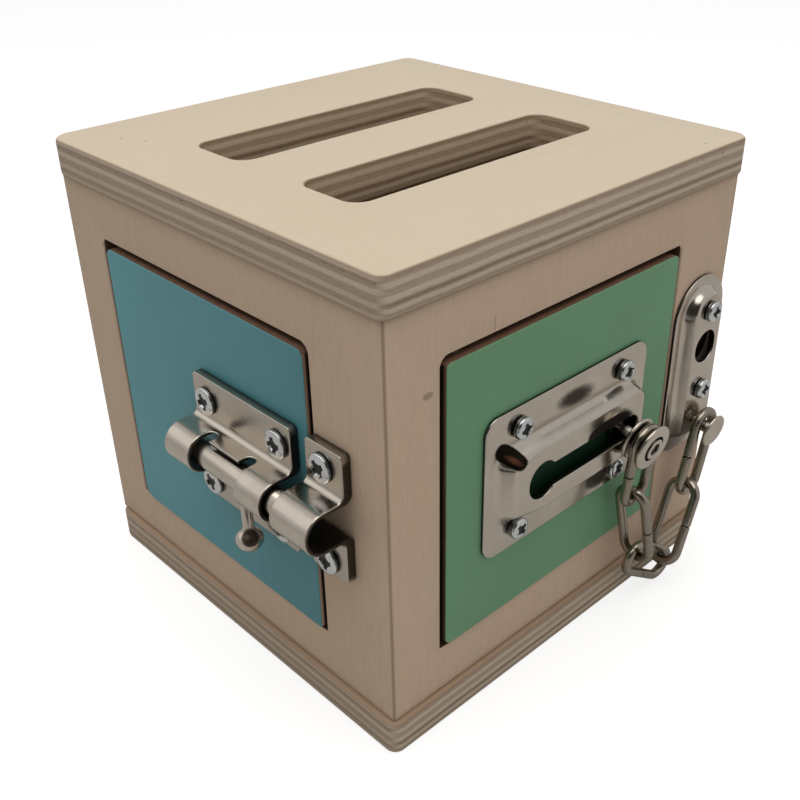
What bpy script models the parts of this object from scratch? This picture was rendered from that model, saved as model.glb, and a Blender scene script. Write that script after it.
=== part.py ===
"""Wooden latch box: a plywood cube with two hinged doors, a turning slide bolt and a chained
slide stud. Metres, +Z up, origin at the bottom centre. The front door faces -Y and the side
door faces -X."""

import math

import bmesh
import bpy
from mathutils import Matrix, Vector

# Gaps shared by the whole box
SEAT_GAP = 0.0003
RUN_GAP = 0.0003
CUT_OVER = 0.002
CUT_REACH = 0.008
SHARP_ANGLE = math.radians(50)
FULL_ROUND_SHARE = 0.495

# Box
BOX_SIDE = 0.150
BOX_HEIGHT = 0.149
PLATE_THICK = 0.0115
PLATE_CORNER = 0.0045
TOP_EASE = 0.0015
EDGE_EASE = 0.0010
WALL_INSET = 0.0017
WALL_THICK = 0.009
CORNER_STEPS = 5

# Slots through the top
SLOT_LENGTH = 0.097
SLOT_WIDTH = 0.0236
SLOT_PITCH = 0.0492
SLOT_CORNER = 0.005

# Door openings, the same in the front wall and the left wall
HINGE_STILE = 0.0174
LATCH_STILE = 0.0282
RAIL_HEIGHT = 0.016
OPENING_CORNER = 0.0055

# Doors and the pins they turn on
DOOR_GAP = 0.0015
DOOR_THICK = 0.009
DOOR_PROUD = 0.001
DOOR_EASE = 0.0008
PIN_RADIUS = 0.0015
PIN_INSET = 0.007
PIN_LENGTH = 0.014
PIN_IN_WALL = 0.0062
STOP_WIDTH = 0.010
STOP_THICK = 0.005
STOP_OVERLAP = 0.0035
STOP_HEIGHT = 0.070

# Pan head screws
HEAD_RADIUS = 0.0040
HEAD_HEIGHT = 0.0022
HEAD_SHARES = ((0, 1), (0.35, 1), (0.68, 0.9), (0.9, 0.66), (1, 0.4))
RECESS_WIDTH = 0.0012
RECESS_SPAN = 0.0046
RECESS_DEPTH = 0.0011
SHANK_RADIUS = 0.0017
SHANK_LENGTH = 0.0085
POINT_LENGTH = 0.0020
POINT_RADIUS_SHARE = 0.25
SCREW_TURN = math.radians(37)
SCREW_STEPS = 16

# Sliding and turning bolt on the side door
BOLT_AXIS_LIFT = 0.0019
BOLT_AXIS_OUT = 0.0098
BOLT_RADIUS = 0.0040
BOLT_CHAMFER = 0.0006
BOLT_GAP = 0.0006
BOLT_TAIL = 0.001
BOLT_STOP_SHORT = 0.0003
BOLT_PLATE_LENGTH = 0.045
BOLT_PLATE_SETBACK = 0.0036
BOLT_PLATE_HEIGHT = 0.0408
BOLT_PLATE_LIFT = 0.0015
BOLT_PLATE_FLANGE = 0.0027
BOLT_PLATE_CORNER = 0.003
BOLT_SHEET = 0.0016
BEND_RADIUS = 0.0010
REAR_LOOP = 0.0117
FRONT_LOOP = 0.011
WEB_OUT = 0.0065
TAB_REACH = 0.0010
RELIEF_RADIUS = 0.0032
BOLT_SCREW_INSET = 0.0062
BOLT_SCREW_EDGE = 0.0055
KNOB_SETBACK = 0.0175
KNOB_DROP = 0.0208
KNOB_RADIUS = 0.0043
KNOB_HEIGHT = 0.0074
STEM_RADIUS = 0.0018
KNOB_STEPS = 20

# Keeper on the left wall
KEEPER_SETBACK = 0.0009
KEEPER_LENGTH = 0.014
KEEPER_FLANGE = 0.0029
KEEPER_GAP = 0.0009

# Keyhole plate on the front door
KEY_SETBACK = 0.013
KEY_LIFT = -0.0003
KEY_WIDTH = 0.071
KEY_HEIGHT = 0.046
KEY_CORNER = 0.005
KEY_SHEET = 0.0012
KEY_BOSS_OUT = 0.0047
KEY_BOSS_LEFT_RIM = 0.0029
KEY_BOSS_RIGHT_RIM = 0.0031
KEY_BOSS_HEIGHT = 0.026
KEY_BOSS_LIFT = -0.0007
KEY_BOSS_SLOPE = 0.003
KEY_HOLE_INSET = 0.0163
KEY_HOLE_RADIUS = 0.0059
KEY_SLOT_HEIGHT = 0.0076
KEY_SLOT_LIFT = -0.0006
KEY_SLOT_INSET = 0.005
KEY_SCREW_INSET = 0.0123
KEY_SCREW_EDGE = 0.0056

# Slide stud, which hangs a little nose down in the slot
STUD_SETBACK = 0.0038
STUD_DROOP = math.radians(10.5)
STUD_SHAFT_RADIUS = 0.0017
STUD_HEAD_RADIUS = 0.0045
STUD_HEAD_THICK = 0.0008
STUD_HEAD_BACK = 0.0034
STUD_DISC_RADIUS = 0.0076
STUD_DISC_THICK = 0.0013
STUD_HUB_RADIUS = 0.003
STUD_HUB_LENGTH = 0.0043
STUD_HUB_OUT = 0.0068
STUD_DISC_EASE = 0.0003
RIVET_RADIUS = 0.0044
RIVET_HEIGHT = 0.0005
LATHE_STEPS = 24

# Anchor plate on the front wall
ANCHOR_SETBACK = 0.0149
ANCHOR_WIDTH = 0.026
ANCHOR_LENGTH = 0.0617
ANCHOR_DROP = 0.0285
ANCHOR_RIM = 0.003
ANCHOR_FOOT_CORNER = 0.001
ANCHOR_SHOULDER_SHARE = 0.33
ANCHOR_LIP = 0.005
ANCHOR_SHEET = 0.0012
ANCHOR_BOSS_OUT = 0.0037
ANCHOR_BOSS_SLOPE = 0.0022
ANCHOR_HOLE_UP = 0.0384
ANCHOR_HOLE_RADIUS = 0.0055
ANCHOR_HIGH_SCREW_UP = 0.0510
ANCHOR_LOW_SCREW_UP = 0.0232
ANCHOR_STUD_SHIFT = 0.0005
ANCHOR_STUD_UP = 0.011
ANCHOR_STUD_RADIUS = 0.002
ANCHOR_STUD_OUT = 0.0107
ANCHOR_STUD_HEAD_THICK = 0.0016
ANCHOR_STUD_HEAD_RADIUS = 0.0057
ANCHOR_STUD_FOOT_RADIUS = 0.0028
ANCHOR_STUD_FOOT_THICK = 0.0009

# Chain: leans are measured from straight down, towards +X and then out from the front
WIRE_RADIUS = 0.0016
LINK_INNER_LENGTH = 0.0258
LINK_INNER_WIDTH = 0.0066
LINK_A_LEAN = (5.4, -8.5)
LINK_B_LEAN = (10.9, 2.8)
LINK_C_LEAN = (54.2, -4.3)
LINK_D_LEAN = (-24.7, 2.6)
LINK_E_LEAN = (-14.9, 0)
LINK_E_OUT = 0.0082
LINK_CUT_SLANT = math.radians(45)
ARC_STEPS = 6
WIRE_STEPS = 8

# Sizes worked out from the ones above
WALL_FACE = BOX_SIDE / 2 - WALL_INSET
WALL_LOW = PLATE_THICK + SEAT_GAP
WALL_HIGH = BOX_HEIGHT - PLATE_THICK - SEAT_GAP
OPENING_WIDTH = 2 * WALL_FACE - HINGE_STILE - LATCH_STILE
OPENING_HEIGHT = BOX_HEIGHT - 2 * PLATE_THICK - 2 * RAIL_HEIGHT
OPENING_SHIFT = (HINGE_STILE - LATCH_STILE) / 2
OPENING_RISE = BOX_HEIGHT / 2
LATCH_EDGE = OPENING_SHIFT + OPENING_WIDTH / 2
DOOR_WIDTH = OPENING_WIDTH - 2 * DOOR_GAP
DOOR_HEIGHT = OPENING_HEIGHT - 2 * DOOR_GAP
DOOR_CORNER = OPENING_CORNER - DOOR_GAP
DOOR_BACK = DOOR_PROUD - DOOR_THICK
HINGE_ALONG = OPENING_SHIFT - DOOR_WIDTH / 2 + PIN_INSET
HINGE_OUT = DOOR_PROUD - DOOR_THICK / 2
ON_DOOR = DOOR_PROUD + SEAT_GAP
BOLT_AXIS_RISE = OPENING_RISE + BOLT_AXIS_LIFT
BOLT_PLATE_RISE = OPENING_RISE + BOLT_PLATE_LIFT
BOLT_PLATE_END = LATCH_EDGE - DOOR_GAP - BOLT_PLATE_SETBACK
BOLT_PLATE_START = BOLT_PLATE_END - BOLT_PLATE_LENGTH
WINDOW_START = BOLT_PLATE_START + REAR_LOOP
WINDOW_END = BOLT_PLATE_END - FRONT_LOOP
KNOB_ALONG = BOLT_PLATE_END - KNOB_SETBACK
KEEPER_START = LATCH_EDGE + KEEPER_SETBACK
KEY_CENTRE = LATCH_EDGE - DOOR_GAP - KEY_SETBACK - KEY_WIDTH / 2
KEY_RISE = OPENING_RISE + KEY_LIFT
KEY_BOSS_START = KEY_CENTRE - KEY_WIDTH / 2 + KEY_BOSS_LEFT_RIM
KEY_BOSS_END = KEY_CENTRE + KEY_WIDTH / 2 - KEY_BOSS_RIGHT_RIM
KEY_BOSS_RISE = KEY_RISE + KEY_BOSS_LIFT
KEY_HOLE_ALONG = KEY_BOSS_START + KEY_HOLE_INSET
KEY_SLOT_RISE = KEY_BOSS_RISE + KEY_SLOT_LIFT
KEY_SLOT_END = KEY_BOSS_END - KEY_SLOT_INSET
STUD_ALONG = KEY_SLOT_END - STUD_SETBACK
ANCHOR_CENTRE = LATCH_EDGE + ANCHOR_SETBACK
ANCHOR_LOW = OPENING_RISE - ANCHOR_DROP
ANCHOR_STUD_ALONG = ANCHOR_CENTRE + ANCHOR_STUD_SHIFT
ANCHOR_STUD_RISE = ANCHOR_LOW + ANCHOR_STUD_UP
LINK_LENGTH = LINK_INNER_LENGTH + 2 * WIRE_RADIUS
LINK_BEND = LINK_INNER_WIDTH / 2 + WIRE_RADIUS
LINK_STEP = 2 * WIRE_RADIUS + RUN_GAP
LINK_STRAIGHT = LINK_LENGTH - 2 * LINK_BEND

# Frames of the two door sides: first along the wall, then up, then out of the wall
FRONT = Matrix(((1, 0, 0, 0), (0, 0, -1, -WALL_FACE), (0, 1, 0, 0), (0, 0, 0, 1)))
SIDE = Matrix(((0, 0, -1, -WALL_FACE), (-1, 0, 0, 0), (0, 1, 0, 0), (0, 0, 0, 1)))

# Base colour, metallic, roughness
LOOKS = {
    "birch_plywood": ((0.60, 0.50, 0.38), 0, 0.6),
    "teal_paint": ((0.09, 0.19, 0.21), 0, 0.45),
    "green_paint": ((0.10, 0.21, 0.11), 0, 0.45),
    "nickel_plate": ((0.62, 0.58, 0.53), 1, 0.25),
    "zinc_screw": ((0.66, 0.68, 0.70), 1, 0.22),
    "chain_nickel": ((0.56, 0.52, 0.46), 1, 0.35),
}


def clear_scene():
    for obj in list(bpy.data.objects):
        bpy.data.objects.remove(obj)


def make_material(name, look):
    base, metallic, roughness = LOOKS[look]
    material = bpy.data.materials.new(name)
    material.use_nodes = True
    shader = material.node_tree.nodes["Principled BSDF"]
    shader.inputs["Base Color"].default_value = (*base, 1)
    shader.inputs["Metallic"].default_value = metallic
    shader.inputs["Roughness"].default_value = roughness
    return material


def make_object(name, points, faces):
    mesh = bpy.data.meshes.new(name)
    mesh.from_pydata([tuple(point) for point in points], [], faces)
    work = bmesh.new()
    work.from_mesh(mesh)
    bmesh.ops.recalc_face_normals(work, faces=work.faces)
    work.to_mesh(mesh)
    work.free()
    obj = bpy.data.objects.new(name, mesh)
    bpy.context.scene.collection.objects.link(obj)
    return obj


def loft(name, rings, ring_closes=False):
    """A solid through rings of equally many points, capped at both ends unless it closes."""
    count = len(rings[0])
    points = [point for ring in rings for point in ring]
    faces = []
    pairs = len(rings) if ring_closes else len(rings) - 1
    for low in range(pairs):
        high = (low + 1) % len(rings)
        for side in range(count):
            after = (side + 1) % count
            faces.append((low * count + side, low * count + after,
                          high * count + after, high * count + side))
    if not ring_closes:
        faces.append(tuple(range(count)))
        faces.append(tuple(range(len(points) - count, len(points))))
    return make_object(name, points, faces)


def rounded(width, height, corner, inset=0, at=(0, 0), steps=CORNER_STEPS):
    """Outline of a rounded rectangle, moved in by an inset on every side."""
    radius = max(corner - inset, corner / steps)
    half = (width / 2 - inset - radius, height / 2 - inset - radius)
    outline = []
    for quarter, (right, up) in enumerate(((1, 1), (-1, 1), (-1, -1), (1, -1))):
        for step in range(steps + 1):
            turn = (quarter + step / steps) * math.pi / 2
            outline.append((at[0] + right * half[0] + radius * math.cos(turn),
                            at[1] + up * half[1] + radius * math.sin(turn)))
    return outline


def circle(radius, at=(0, 0), steps=LATHE_STEPS):
    turns = [2 * math.pi * step / steps for step in range(steps)]
    return [(at[0] + radius * math.cos(t), at[1] + radius * math.sin(t)) for t in turns]


def raised(outline, out):
    return [(along, up, out) for along, up in outline]


def slab(name, width, height, corner, layers, at=(0, 0)):
    """A rounded plate from layers of (out, inset)."""
    return loft(name, [raised(rounded(width, height, corner, inset, at), out)
                       for out, inset in layers])


def block(name, low, high):
    outline = ((low[0], low[1]), (high[0], low[1]), (high[0], high[1]), (low[0], high[1]))
    return loft(name, [raised(outline, low[2]), raised(outline, high[2])])


def turned(name, profile, at=(0, 0), steps=LATHE_STEPS):
    """A lathe piece along the outward axis from pairs of (out, radius)."""
    return loft(name, [raised(circle(radius, at, steps), out) for out, radius in profile])


def combine(obj, tools, operation="DIFFERENCE"):
    """Applies Booleans with the tools in turn, and removes the tools."""
    for tool in tools:
        step = obj.modifiers.new("step", "BOOLEAN")
        step.operation = operation
        step.solver = "EXACT"
        step.object = tool
    bpy.context.view_layer.update()
    graph = bpy.context.evaluated_depsgraph_get()
    finished = bpy.data.meshes.new_from_object(obj.evaluated_get(graph))
    obj.modifiers.clear()
    obj.data = finished
    for tool in tools:
        bpy.data.objects.remove(tool)
    return obj


def finish(obj, look, frame=None, pivot=None):
    """Places the piece by its frame, sets its origin on its joint, colours and shades it."""
    if frame is not None:
        obj.data.transform(frame)
    if pivot is not None:
        obj.data.transform(Matrix.Translation(-pivot))
        obj.location = pivot
    obj.data.materials.clear()
    obj.data.materials.append(make_material(obj.name + "_look", look))
    obj.data.shade_smooth()
    obj.data.set_sharp_from_angle(angle=SHARP_ANGLE)
    return obj


def make_plates():
    top = BOX_HEIGHT
    under = BOX_HEIGHT - PLATE_THICK
    plate = slab("top_plate", BOX_SIDE, BOX_SIDE, PLATE_CORNER,
                 ((under, EDGE_EASE), (under + EDGE_EASE, 0), (top - TOP_EASE, 0),
                  (top, TOP_EASE)))
    slots = [slab("slot", SLOT_LENGTH, SLOT_WIDTH, SLOT_CORNER,
                  ((under - CUT_OVER, 0), (top - TOP_EASE, 0), (top, -TOP_EASE),
                   (top + CUT_OVER, -TOP_EASE - CUT_OVER)), (0, side * SLOT_PITCH / 2))
             for side in (-1, 1)]
    finish(combine(plate, slots), "birch_plywood")
    finish(slab("bottom_plate", BOX_SIDE, BOX_SIDE, PLATE_CORNER,
                ((0, EDGE_EASE), (EDGE_EASE, 0), (PLATE_THICK - EDGE_EASE, 0),
                 (PLATE_THICK, EDGE_EASE))), "birch_plywood")


def wall_blank(name):
    """A mitred wall in its own frame: along, up and out of its face."""
    outer = WALL_FACE - SEAT_GAP / 2
    inner = outer - WALL_THICK
    rings = [[(-outer, rise, 0), (outer, rise, 0),
              (inner, rise, -WALL_THICK), (-inner, rise, -WALL_THICK)]
             for rise in (WALL_LOW, WALL_HIGH)]
    return loft(name, rings)


def pin_span(side):
    """Low and high end of the upper (side 1) or lower (side -1) pin."""
    edge = OPENING_RISE + side * OPENING_HEIGHT / 2
    far = edge + side * PIN_IN_WALL
    return sorted((far, far - side * PIN_LENGTH))


def pin_hole(side):
    low, high = pin_span(side)
    outline = circle(PIN_RADIUS + RUN_GAP, (HINGE_ALONG, HINGE_OUT))
    return loft("hole", [[(along, rise, out) for along, out in outline]
                         for rise in (low - RUN_GAP, high + RUN_GAP)])


def screw_hole(at, length, radius):
    """A hole from the length given behind the wall's face to well in front of it."""
    return turned("hole", ((-length, radius), (CUT_REACH, radius)), at,
                  SCREW_STEPS)


def wood_holes(spots, seat):
    """Blind holes for screws whose heads sit at the height given over the wall's face."""
    depth = SHANK_LENGTH - seat + SEAT_GAP
    return [screw_hole(spot, depth, SHANK_RADIUS + RUN_GAP) for spot in spots]


def make_wall(name, frame, screws, seat):
    opening = slab("opening", OPENING_WIDTH, OPENING_HEIGHT, OPENING_CORNER,
                   ((-WALL_THICK - CUT_OVER, 0), (CUT_OVER, 0)),
                   (OPENING_SHIFT, OPENING_RISE))
    tools = [opening, pin_hole(-1), pin_hole(1)] + wood_holes(screws, seat)
    finish(combine(wall_blank(name), tools), "birch_plywood", frame)


def make_plain_walls():
    for name, turn in (("back_wall", math.pi), ("right_wall", math.pi / 2)):
        finish(wall_blank(name), "birch_plywood", Matrix.Rotation(turn, 4, "Z") @ FRONT)


def hinge_point(frame):
    return frame @ Vector((HINGE_ALONG, OPENING_RISE, HINGE_OUT))


def make_door(name, frame, look, screws, seat):
    door = slab(name, DOOR_WIDTH, DOOR_HEIGHT, DOOR_CORNER,
                ((DOOR_BACK, DOOR_EASE), (DOOR_BACK + DOOR_EASE, 0),
                 (DOOR_PROUD - DOOR_EASE, 0), (DOOR_PROUD, DOOR_EASE)),
                (OPENING_SHIFT, OPENING_RISE))
    tools = [pin_hole(-1), pin_hole(1)] + wood_holes(screws, seat)
    finish(combine(door, tools), look, frame, hinge_point(frame))


def make_pins(prefix, frame):
    for word, side in (("lower", -1), ("upper", 1)):
        outline = circle(PIN_RADIUS, (HINGE_ALONG, HINGE_OUT))
        rings = [[(along, rise, out) for along, out in outline] for rise in pin_span(side)]
        finish(loft(f"{prefix}_pin_{word}", rings), "zinc_screw", frame)


def make_stop(name, frame):
    """A strip behind the latch edge of the door, fixed to the back of the wall."""
    edge = OPENING_SHIFT + OPENING_WIDTH / 2
    back = -WALL_THICK - SEAT_GAP
    finish(block(name, (edge - STOP_OVERLAP, OPENING_RISE - STOP_HEIGHT / 2,
                        back - STOP_THICK),
                 (edge - STOP_OVERLAP + STOP_WIDTH, OPENING_RISE + STOP_HEIGHT / 2, back)),
           "birch_plywood", frame)


def screw_blank():
    """A pan head screw with its seat at zero, pointing inwards, with a cross recess."""
    neck = SHANK_RADIUS
    profile = [(-SHANK_LENGTH, neck * POINT_RADIUS_SHARE), (POINT_LENGTH - SHANK_LENGTH, neck), (0, neck)]
    profile += [(HEAD_HEIGHT * out, HEAD_RADIUS * wide) for out, wide in HEAD_SHARES]
    screw = turned("screw", profile, steps=SCREW_STEPS)
    half, wide = RECESS_SPAN / 2, RECESS_WIDTH / 2
    low, high = HEAD_HEIGHT - RECESS_DEPTH, HEAD_HEIGHT + CUT_OVER
    tools = [block("recess", (-half, -wide, low), (half, wide, high)),
             block("recess", (-wide, -half, low), (wide, half, high))]
    return combine(screw, tools)


def make_screws(blank, prefix, frame, spots, seat, pivot=None):
    for number, (along, rise) in enumerate(spots, 1):
        turn = Matrix.Rotation(number * SCREW_TURN, 4, "Z")
        place = Matrix.Translation((along, rise, seat + SEAT_GAP)) @ turn
        screw = bpy.data.objects.new(f"{prefix}_screw_{number}", blank.data.copy())
        bpy.context.scene.collection.objects.link(screw)
        finish(screw, "zinc_screw", frame @ place, pivot)


def corner_spots(centre, width, height, inset, edge):
    """Screw places near the corners of a plate."""
    return [(centre[0] + side * (width / 2 - inset), centre[1] + up * (height / 2 - edge))
            for up in (1, -1) for side in (-1, 1)]


def strap_profile(inner, sheet, base, flange, low, high):
    """Section of a strap bent over the bolt, as (up, out), from its upper foot round."""
    outer = inner + sheet
    top = base + flange
    turns = [math.pi * step / (2 * ARC_STEPS) for step in range(2 * ARC_STEPS + 1)]
    points = [(high, base), (high, top), (BOLT_AXIS_RISE + outer + BEND_RADIUS, top),
              (BOLT_AXIS_RISE + outer, top + BEND_RADIUS)]
    points += [(BOLT_AXIS_RISE + outer * math.cos(t), BOLT_AXIS_OUT + outer * math.sin(t))
               for t in turns]
    points += [(BOLT_AXIS_RISE - outer, top + BEND_RADIUS),
               (BOLT_AXIS_RISE - outer - BEND_RADIUS, top), (low, top), (low, base),
               (BOLT_AXIS_RISE - inner, base)]
    points += [(BOLT_AXIS_RISE + inner * math.cos(t), BOLT_AXIS_OUT + inner * math.sin(t))
               for t in reversed(turns)]
    return points + [(BOLT_AXIS_RISE + inner, base)]


def strap(name, start, end, profile, spots, seat):
    """A bent strap along the bolt with rounded foot corners and screw holes."""
    piece = loft(name, [[(along, up, out) for up, out in profile] for along in (start, end)])
    high = max(up for up, _ in profile)
    low = min(up for up, _ in profile)
    far = max(out for _, out in profile)
    trim = slab("trim", end - start, high - low, BOLT_PLATE_CORNER,
                ((-CUT_OVER, 0), (far + CUT_OVER, 0)),
                ((start + end) / 2, (low + high) / 2))
    combine(piece, [trim], "INTERSECT")
    holes = [screw_hole(spot, 0, SHANK_RADIUS + RUN_GAP) for spot in spots]
    return combine(piece, holes)


def make_bolt_body(spots):
    low = BOLT_PLATE_RISE - BOLT_PLATE_HEIGHT / 2
    high = low + BOLT_PLATE_HEIGHT
    profile = strap_profile(BOLT_RADIUS + BOLT_GAP, BOLT_SHEET, ON_DOOR,
                            BOLT_PLATE_FLANGE, low, high)
    body = strap("bolt_body", BOLT_PLATE_START, BOLT_PLATE_END, profile, spots, ON_DOOR)
    outer = BOLT_RADIUS + BOLT_GAP + BOLT_SHEET
    below = BOLT_AXIS_RISE - outer - CUT_OVER
    above = BOLT_AXIS_RISE + outer + CUT_OVER
    far = BOLT_AXIS_OUT + outer + CUT_OVER
    tab_out = BOLT_AXIS_OUT + TAB_REACH
    front = block("window", (WINDOW_START, below, tab_out), (WINDOW_END, above, far))
    under = block("window", (WINDOW_START, below, WEB_OUT),
                  (WINDOW_END, BOLT_AXIS_RISE, far))
    tools = [front, under]
    for centre in (WINDOW_START + RELIEF_RADIUS, WINDOW_END - RELIEF_RADIUS):
        middle = BOLT_AXIS_OUT - RELIEF_RADIUS
        notch = circle(RELIEF_RADIUS, (centre, middle), SCREW_STEPS)
        tools.append(loft("notch", [[(along, rise, out) for along, out in notch]
                                    for rise in (BOLT_AXIS_RISE, above)]))
        tools.append(block("notch", (centre - RELIEF_RADIUS, BOLT_AXIS_RISE, middle),
                           (centre + RELIEF_RADIUS, above, far)))
    finish(combine(body, tools), "nickel_plate", SIDE, hinge_point(SIDE))


def bolt_axis_point(along):
    return SIDE @ Vector((along, BOLT_AXIS_RISE, BOLT_AXIS_OUT))


def make_bolt():
    end = KEEPER_START - BOLT_STOP_SHORT
    tail = BOLT_PLATE_START + BOLT_TAIL
    layers = ((tail, BOLT_RADIUS - BOLT_CHAMFER), (tail + BOLT_CHAMFER, BOLT_RADIUS),
              (end - BOLT_CHAMFER, BOLT_RADIUS), (end, BOLT_RADIUS - BOLT_CHAMFER))
    rings = [[(along, up, out)
              for up, out in circle(radius, (BOLT_AXIS_RISE, BOLT_AXIS_OUT))]
             for along, radius in layers]
    pivot = bolt_axis_point(KNOB_ALONG)
    finish(loft("bolt_rod", rings), "nickel_plate", SIDE, pivot)
    stem_top = BOLT_AXIS_RISE - BOLT_RADIUS - SEAT_GAP
    ball = BOLT_AXIS_RISE - KNOB_DROP
    half = KNOB_HEIGHT / 2
    start = math.asin(STEM_RADIUS / KNOB_RADIUS)
    turns = [start + (math.pi - start) * step / ARC_STEPS for step in range(ARC_STEPS)]
    profile = [(stem_top, STEM_RADIUS)]
    profile += [(ball + half * math.cos(t), KNOB_RADIUS * math.sin(t)) for t in turns]
    rings = [[(along, rise, out)
              for along, out in circle(radius, (KNOB_ALONG, BOLT_AXIS_OUT), KNOB_STEPS)]
             for rise, radius in profile]
    finish(loft("bolt_knob", rings), "nickel_plate", SIDE, pivot)


def make_keeper(spots):
    low = BOLT_PLATE_RISE - BOLT_PLATE_HEIGHT / 2
    profile = strap_profile(BOLT_RADIUS + KEEPER_GAP, BOLT_SHEET, SEAT_GAP, KEEPER_FLANGE,
                            low, low + BOLT_PLATE_HEIGHT)
    keeper = strap("bolt_keeper", KEEPER_START, KEEPER_START + KEEPER_LENGTH, profile, spots,
                   SEAT_GAP)
    finish(keeper, "nickel_plate", SIDE)


def make_key_plate(spots):
    """A thin plate with a hollow raised track and a keyhole slot along it."""
    base = ON_DOOR
    face = base + KEY_BOSS_OUT
    middle = ((KEY_BOSS_START + KEY_BOSS_END) / 2, KEY_BOSS_RISE)
    width = KEY_BOSS_END - KEY_BOSS_START
    plate = slab("keyhole_plate", KEY_WIDTH, KEY_HEIGHT, KEY_CORNER,
                 ((base, 0), (base + KEY_SHEET - SEAT_GAP, 0), (base + KEY_SHEET, SEAT_GAP)),
                 (KEY_CENTRE, KEY_RISE))
    boss = slab("boss", width, KEY_BOSS_HEIGHT, KEY_CORNER,
                ((base + SEAT_GAP, 0), (base + KEY_SHEET, 0), (face, KEY_BOSS_SLOPE)), middle)
    combine(plate, [boss], "UNION")
    hollow = slab("hollow", width, KEY_BOSS_HEIGHT, KEY_CORNER,
                  ((base - CUT_OVER, KEY_SHEET), (base, KEY_SHEET),
                   (face - KEY_SHEET, KEY_BOSS_SLOPE + KEY_SHEET)), middle)
    hole = turned("hole", ((base, KEY_HOLE_RADIUS), (face + CUT_OVER, KEY_HOLE_RADIUS)),
                  (KEY_HOLE_ALONG, KEY_SLOT_RISE))
    length = KEY_SLOT_END - KEY_HOLE_ALONG
    slot = slab("slot", length + KEY_SLOT_HEIGHT, KEY_SLOT_HEIGHT, KEY_SLOT_HEIGHT * FULL_ROUND_SHARE,
                ((base, 0), (face + CUT_OVER, 0)),
                (KEY_SLOT_END - (length + KEY_SLOT_HEIGHT) / 2, KEY_SLOT_RISE))
    holes = [screw_hole(spot, 0, SHANK_RADIUS + RUN_GAP) for spot in spots]
    combine(plate, [hollow, hole, slot] + holes)
    finish(plate, "nickel_plate", FRONT, hinge_point(FRONT))


def stud_frame():
    """The slide stud's own axis, from the middle of the slot's mouth outwards."""
    rise = KEY_SLOT_RISE - KEY_SLOT_HEIGHT / 2 + STUD_SHAFT_RADIUS + RUN_GAP
    start = Matrix.Translation((STUD_ALONG, rise, ON_DOOR + KEY_BOSS_OUT))
    return FRONT @ start @ Matrix.Rotation(STUD_DROOP, 4, "X")


def make_slide_stud():
    back = STUD_HUB_OUT - STUD_HUB_LENGTH / 2
    front = STUD_HUB_OUT + STUD_HUB_LENGTH / 2
    ease, disc, thick = STUD_DISC_EASE, STUD_DISC_RADIUS, STUD_DISC_THICK
    face = front + thick
    head = -STUD_HEAD_BACK
    profile = ((head, STUD_HEAD_RADIUS), (head + STUD_HEAD_THICK, STUD_HEAD_RADIUS),
               (head + STUD_HEAD_THICK, STUD_SHAFT_RADIUS), (back - thick, STUD_SHAFT_RADIUS),
               (back - thick, disc - ease), (back - thick + ease, disc),
               (back - ease, disc), (back, disc - ease), (back, STUD_HUB_RADIUS),
               (front, STUD_HUB_RADIUS), (front, disc - ease), (front + ease, disc),
               (face - ease, disc), (face, disc - ease), (face, RIVET_RADIUS),
               (face + RIVET_HEIGHT, RIVET_RADIUS - RIVET_HEIGHT))
    frame = stud_frame()
    finish(turned("slide_stud", profile), "nickel_plate", frame,
           frame @ Vector((0, 0, STUD_HUB_OUT)))


def anchor_layers(width, low, high, layers):
    """A lofted outline with a round top and a nearly square foot."""
    radius = width / 2
    rings = []
    for out, inset, lift in layers:
        reach = radius - inset
        foot = low + lift
        corner = ANCHOR_FOOT_CORNER
        outline = [(-reach + corner, foot), (reach - corner, foot), (reach, foot + corner)]
        centre = high - radius
        turns = [math.pi * step / (2 * ARC_STEPS) for step in range(2 * ARC_STEPS + 1)]
        outline += [(reach * math.cos(t), centre + reach * math.sin(t)) for t in turns]
        outline += [(-reach, foot + corner)]
        rings.append([(ANCHOR_CENTRE + along, up, out) for along, up in outline])
    return rings


def make_anchor_plate(spots):
    base = SEAT_GAP
    rim = base + ANCHOR_SHEET
    face = base + ANCHOR_BOSS_OUT
    span = (ANCHOR_WIDTH, ANCHOR_LOW, ANCHOR_LOW + ANCHOR_LENGTH)
    slope = ANCHOR_RIM + ANCHOR_BOSS_SLOPE
    edge = SEAT_GAP
    shoulder = ANCHOR_BOSS_SLOPE * ANCHOR_SHOULDER_SHARE
    plate = loft("anchor_plate", anchor_layers(*span, (
        (base, 0, 0), (rim - edge, 0, 0), (rim, edge, edge))))
    boss = loft("boss", anchor_layers(*span, (
        (base + edge, ANCHOR_RIM, ANCHOR_LIP), (rim, ANCHOR_RIM, ANCHOR_LIP),
        (face - ANCHOR_SHEET, ANCHOR_RIM + shoulder, ANCHOR_LIP + shoulder),
        (face, slope, ANCHOR_LIP + ANCHOR_BOSS_SLOPE))))
    combine(plate, [boss], "UNION")
    wall = ANCHOR_SHEET
    hollow = loft("hollow", anchor_layers(*span, (
        (base - CUT_OVER, ANCHOR_RIM + wall, ANCHOR_LIP + wall),
        (base, ANCHOR_RIM + wall, ANCHOR_LIP + wall),
        (face - wall, slope + wall / 2, ANCHOR_LIP + ANCHOR_BOSS_SLOPE + wall / 2))))
    hole = turned("hole", ((base, ANCHOR_HOLE_RADIUS), (face + CUT_OVER, ANCHOR_HOLE_RADIUS)),
                  (ANCHOR_CENTRE, ANCHOR_LOW + ANCHOR_HOLE_UP))
    eye = screw_hole((ANCHOR_STUD_ALONG, ANCHOR_STUD_RISE), 0, ANCHOR_STUD_RADIUS + RUN_GAP)
    holes = [screw_hole(spot, 0, SHANK_RADIUS + RUN_GAP) for spot in spots]
    finish(combine(plate, [hollow, hole, eye] + holes), "nickel_plate", FRONT)


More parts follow.
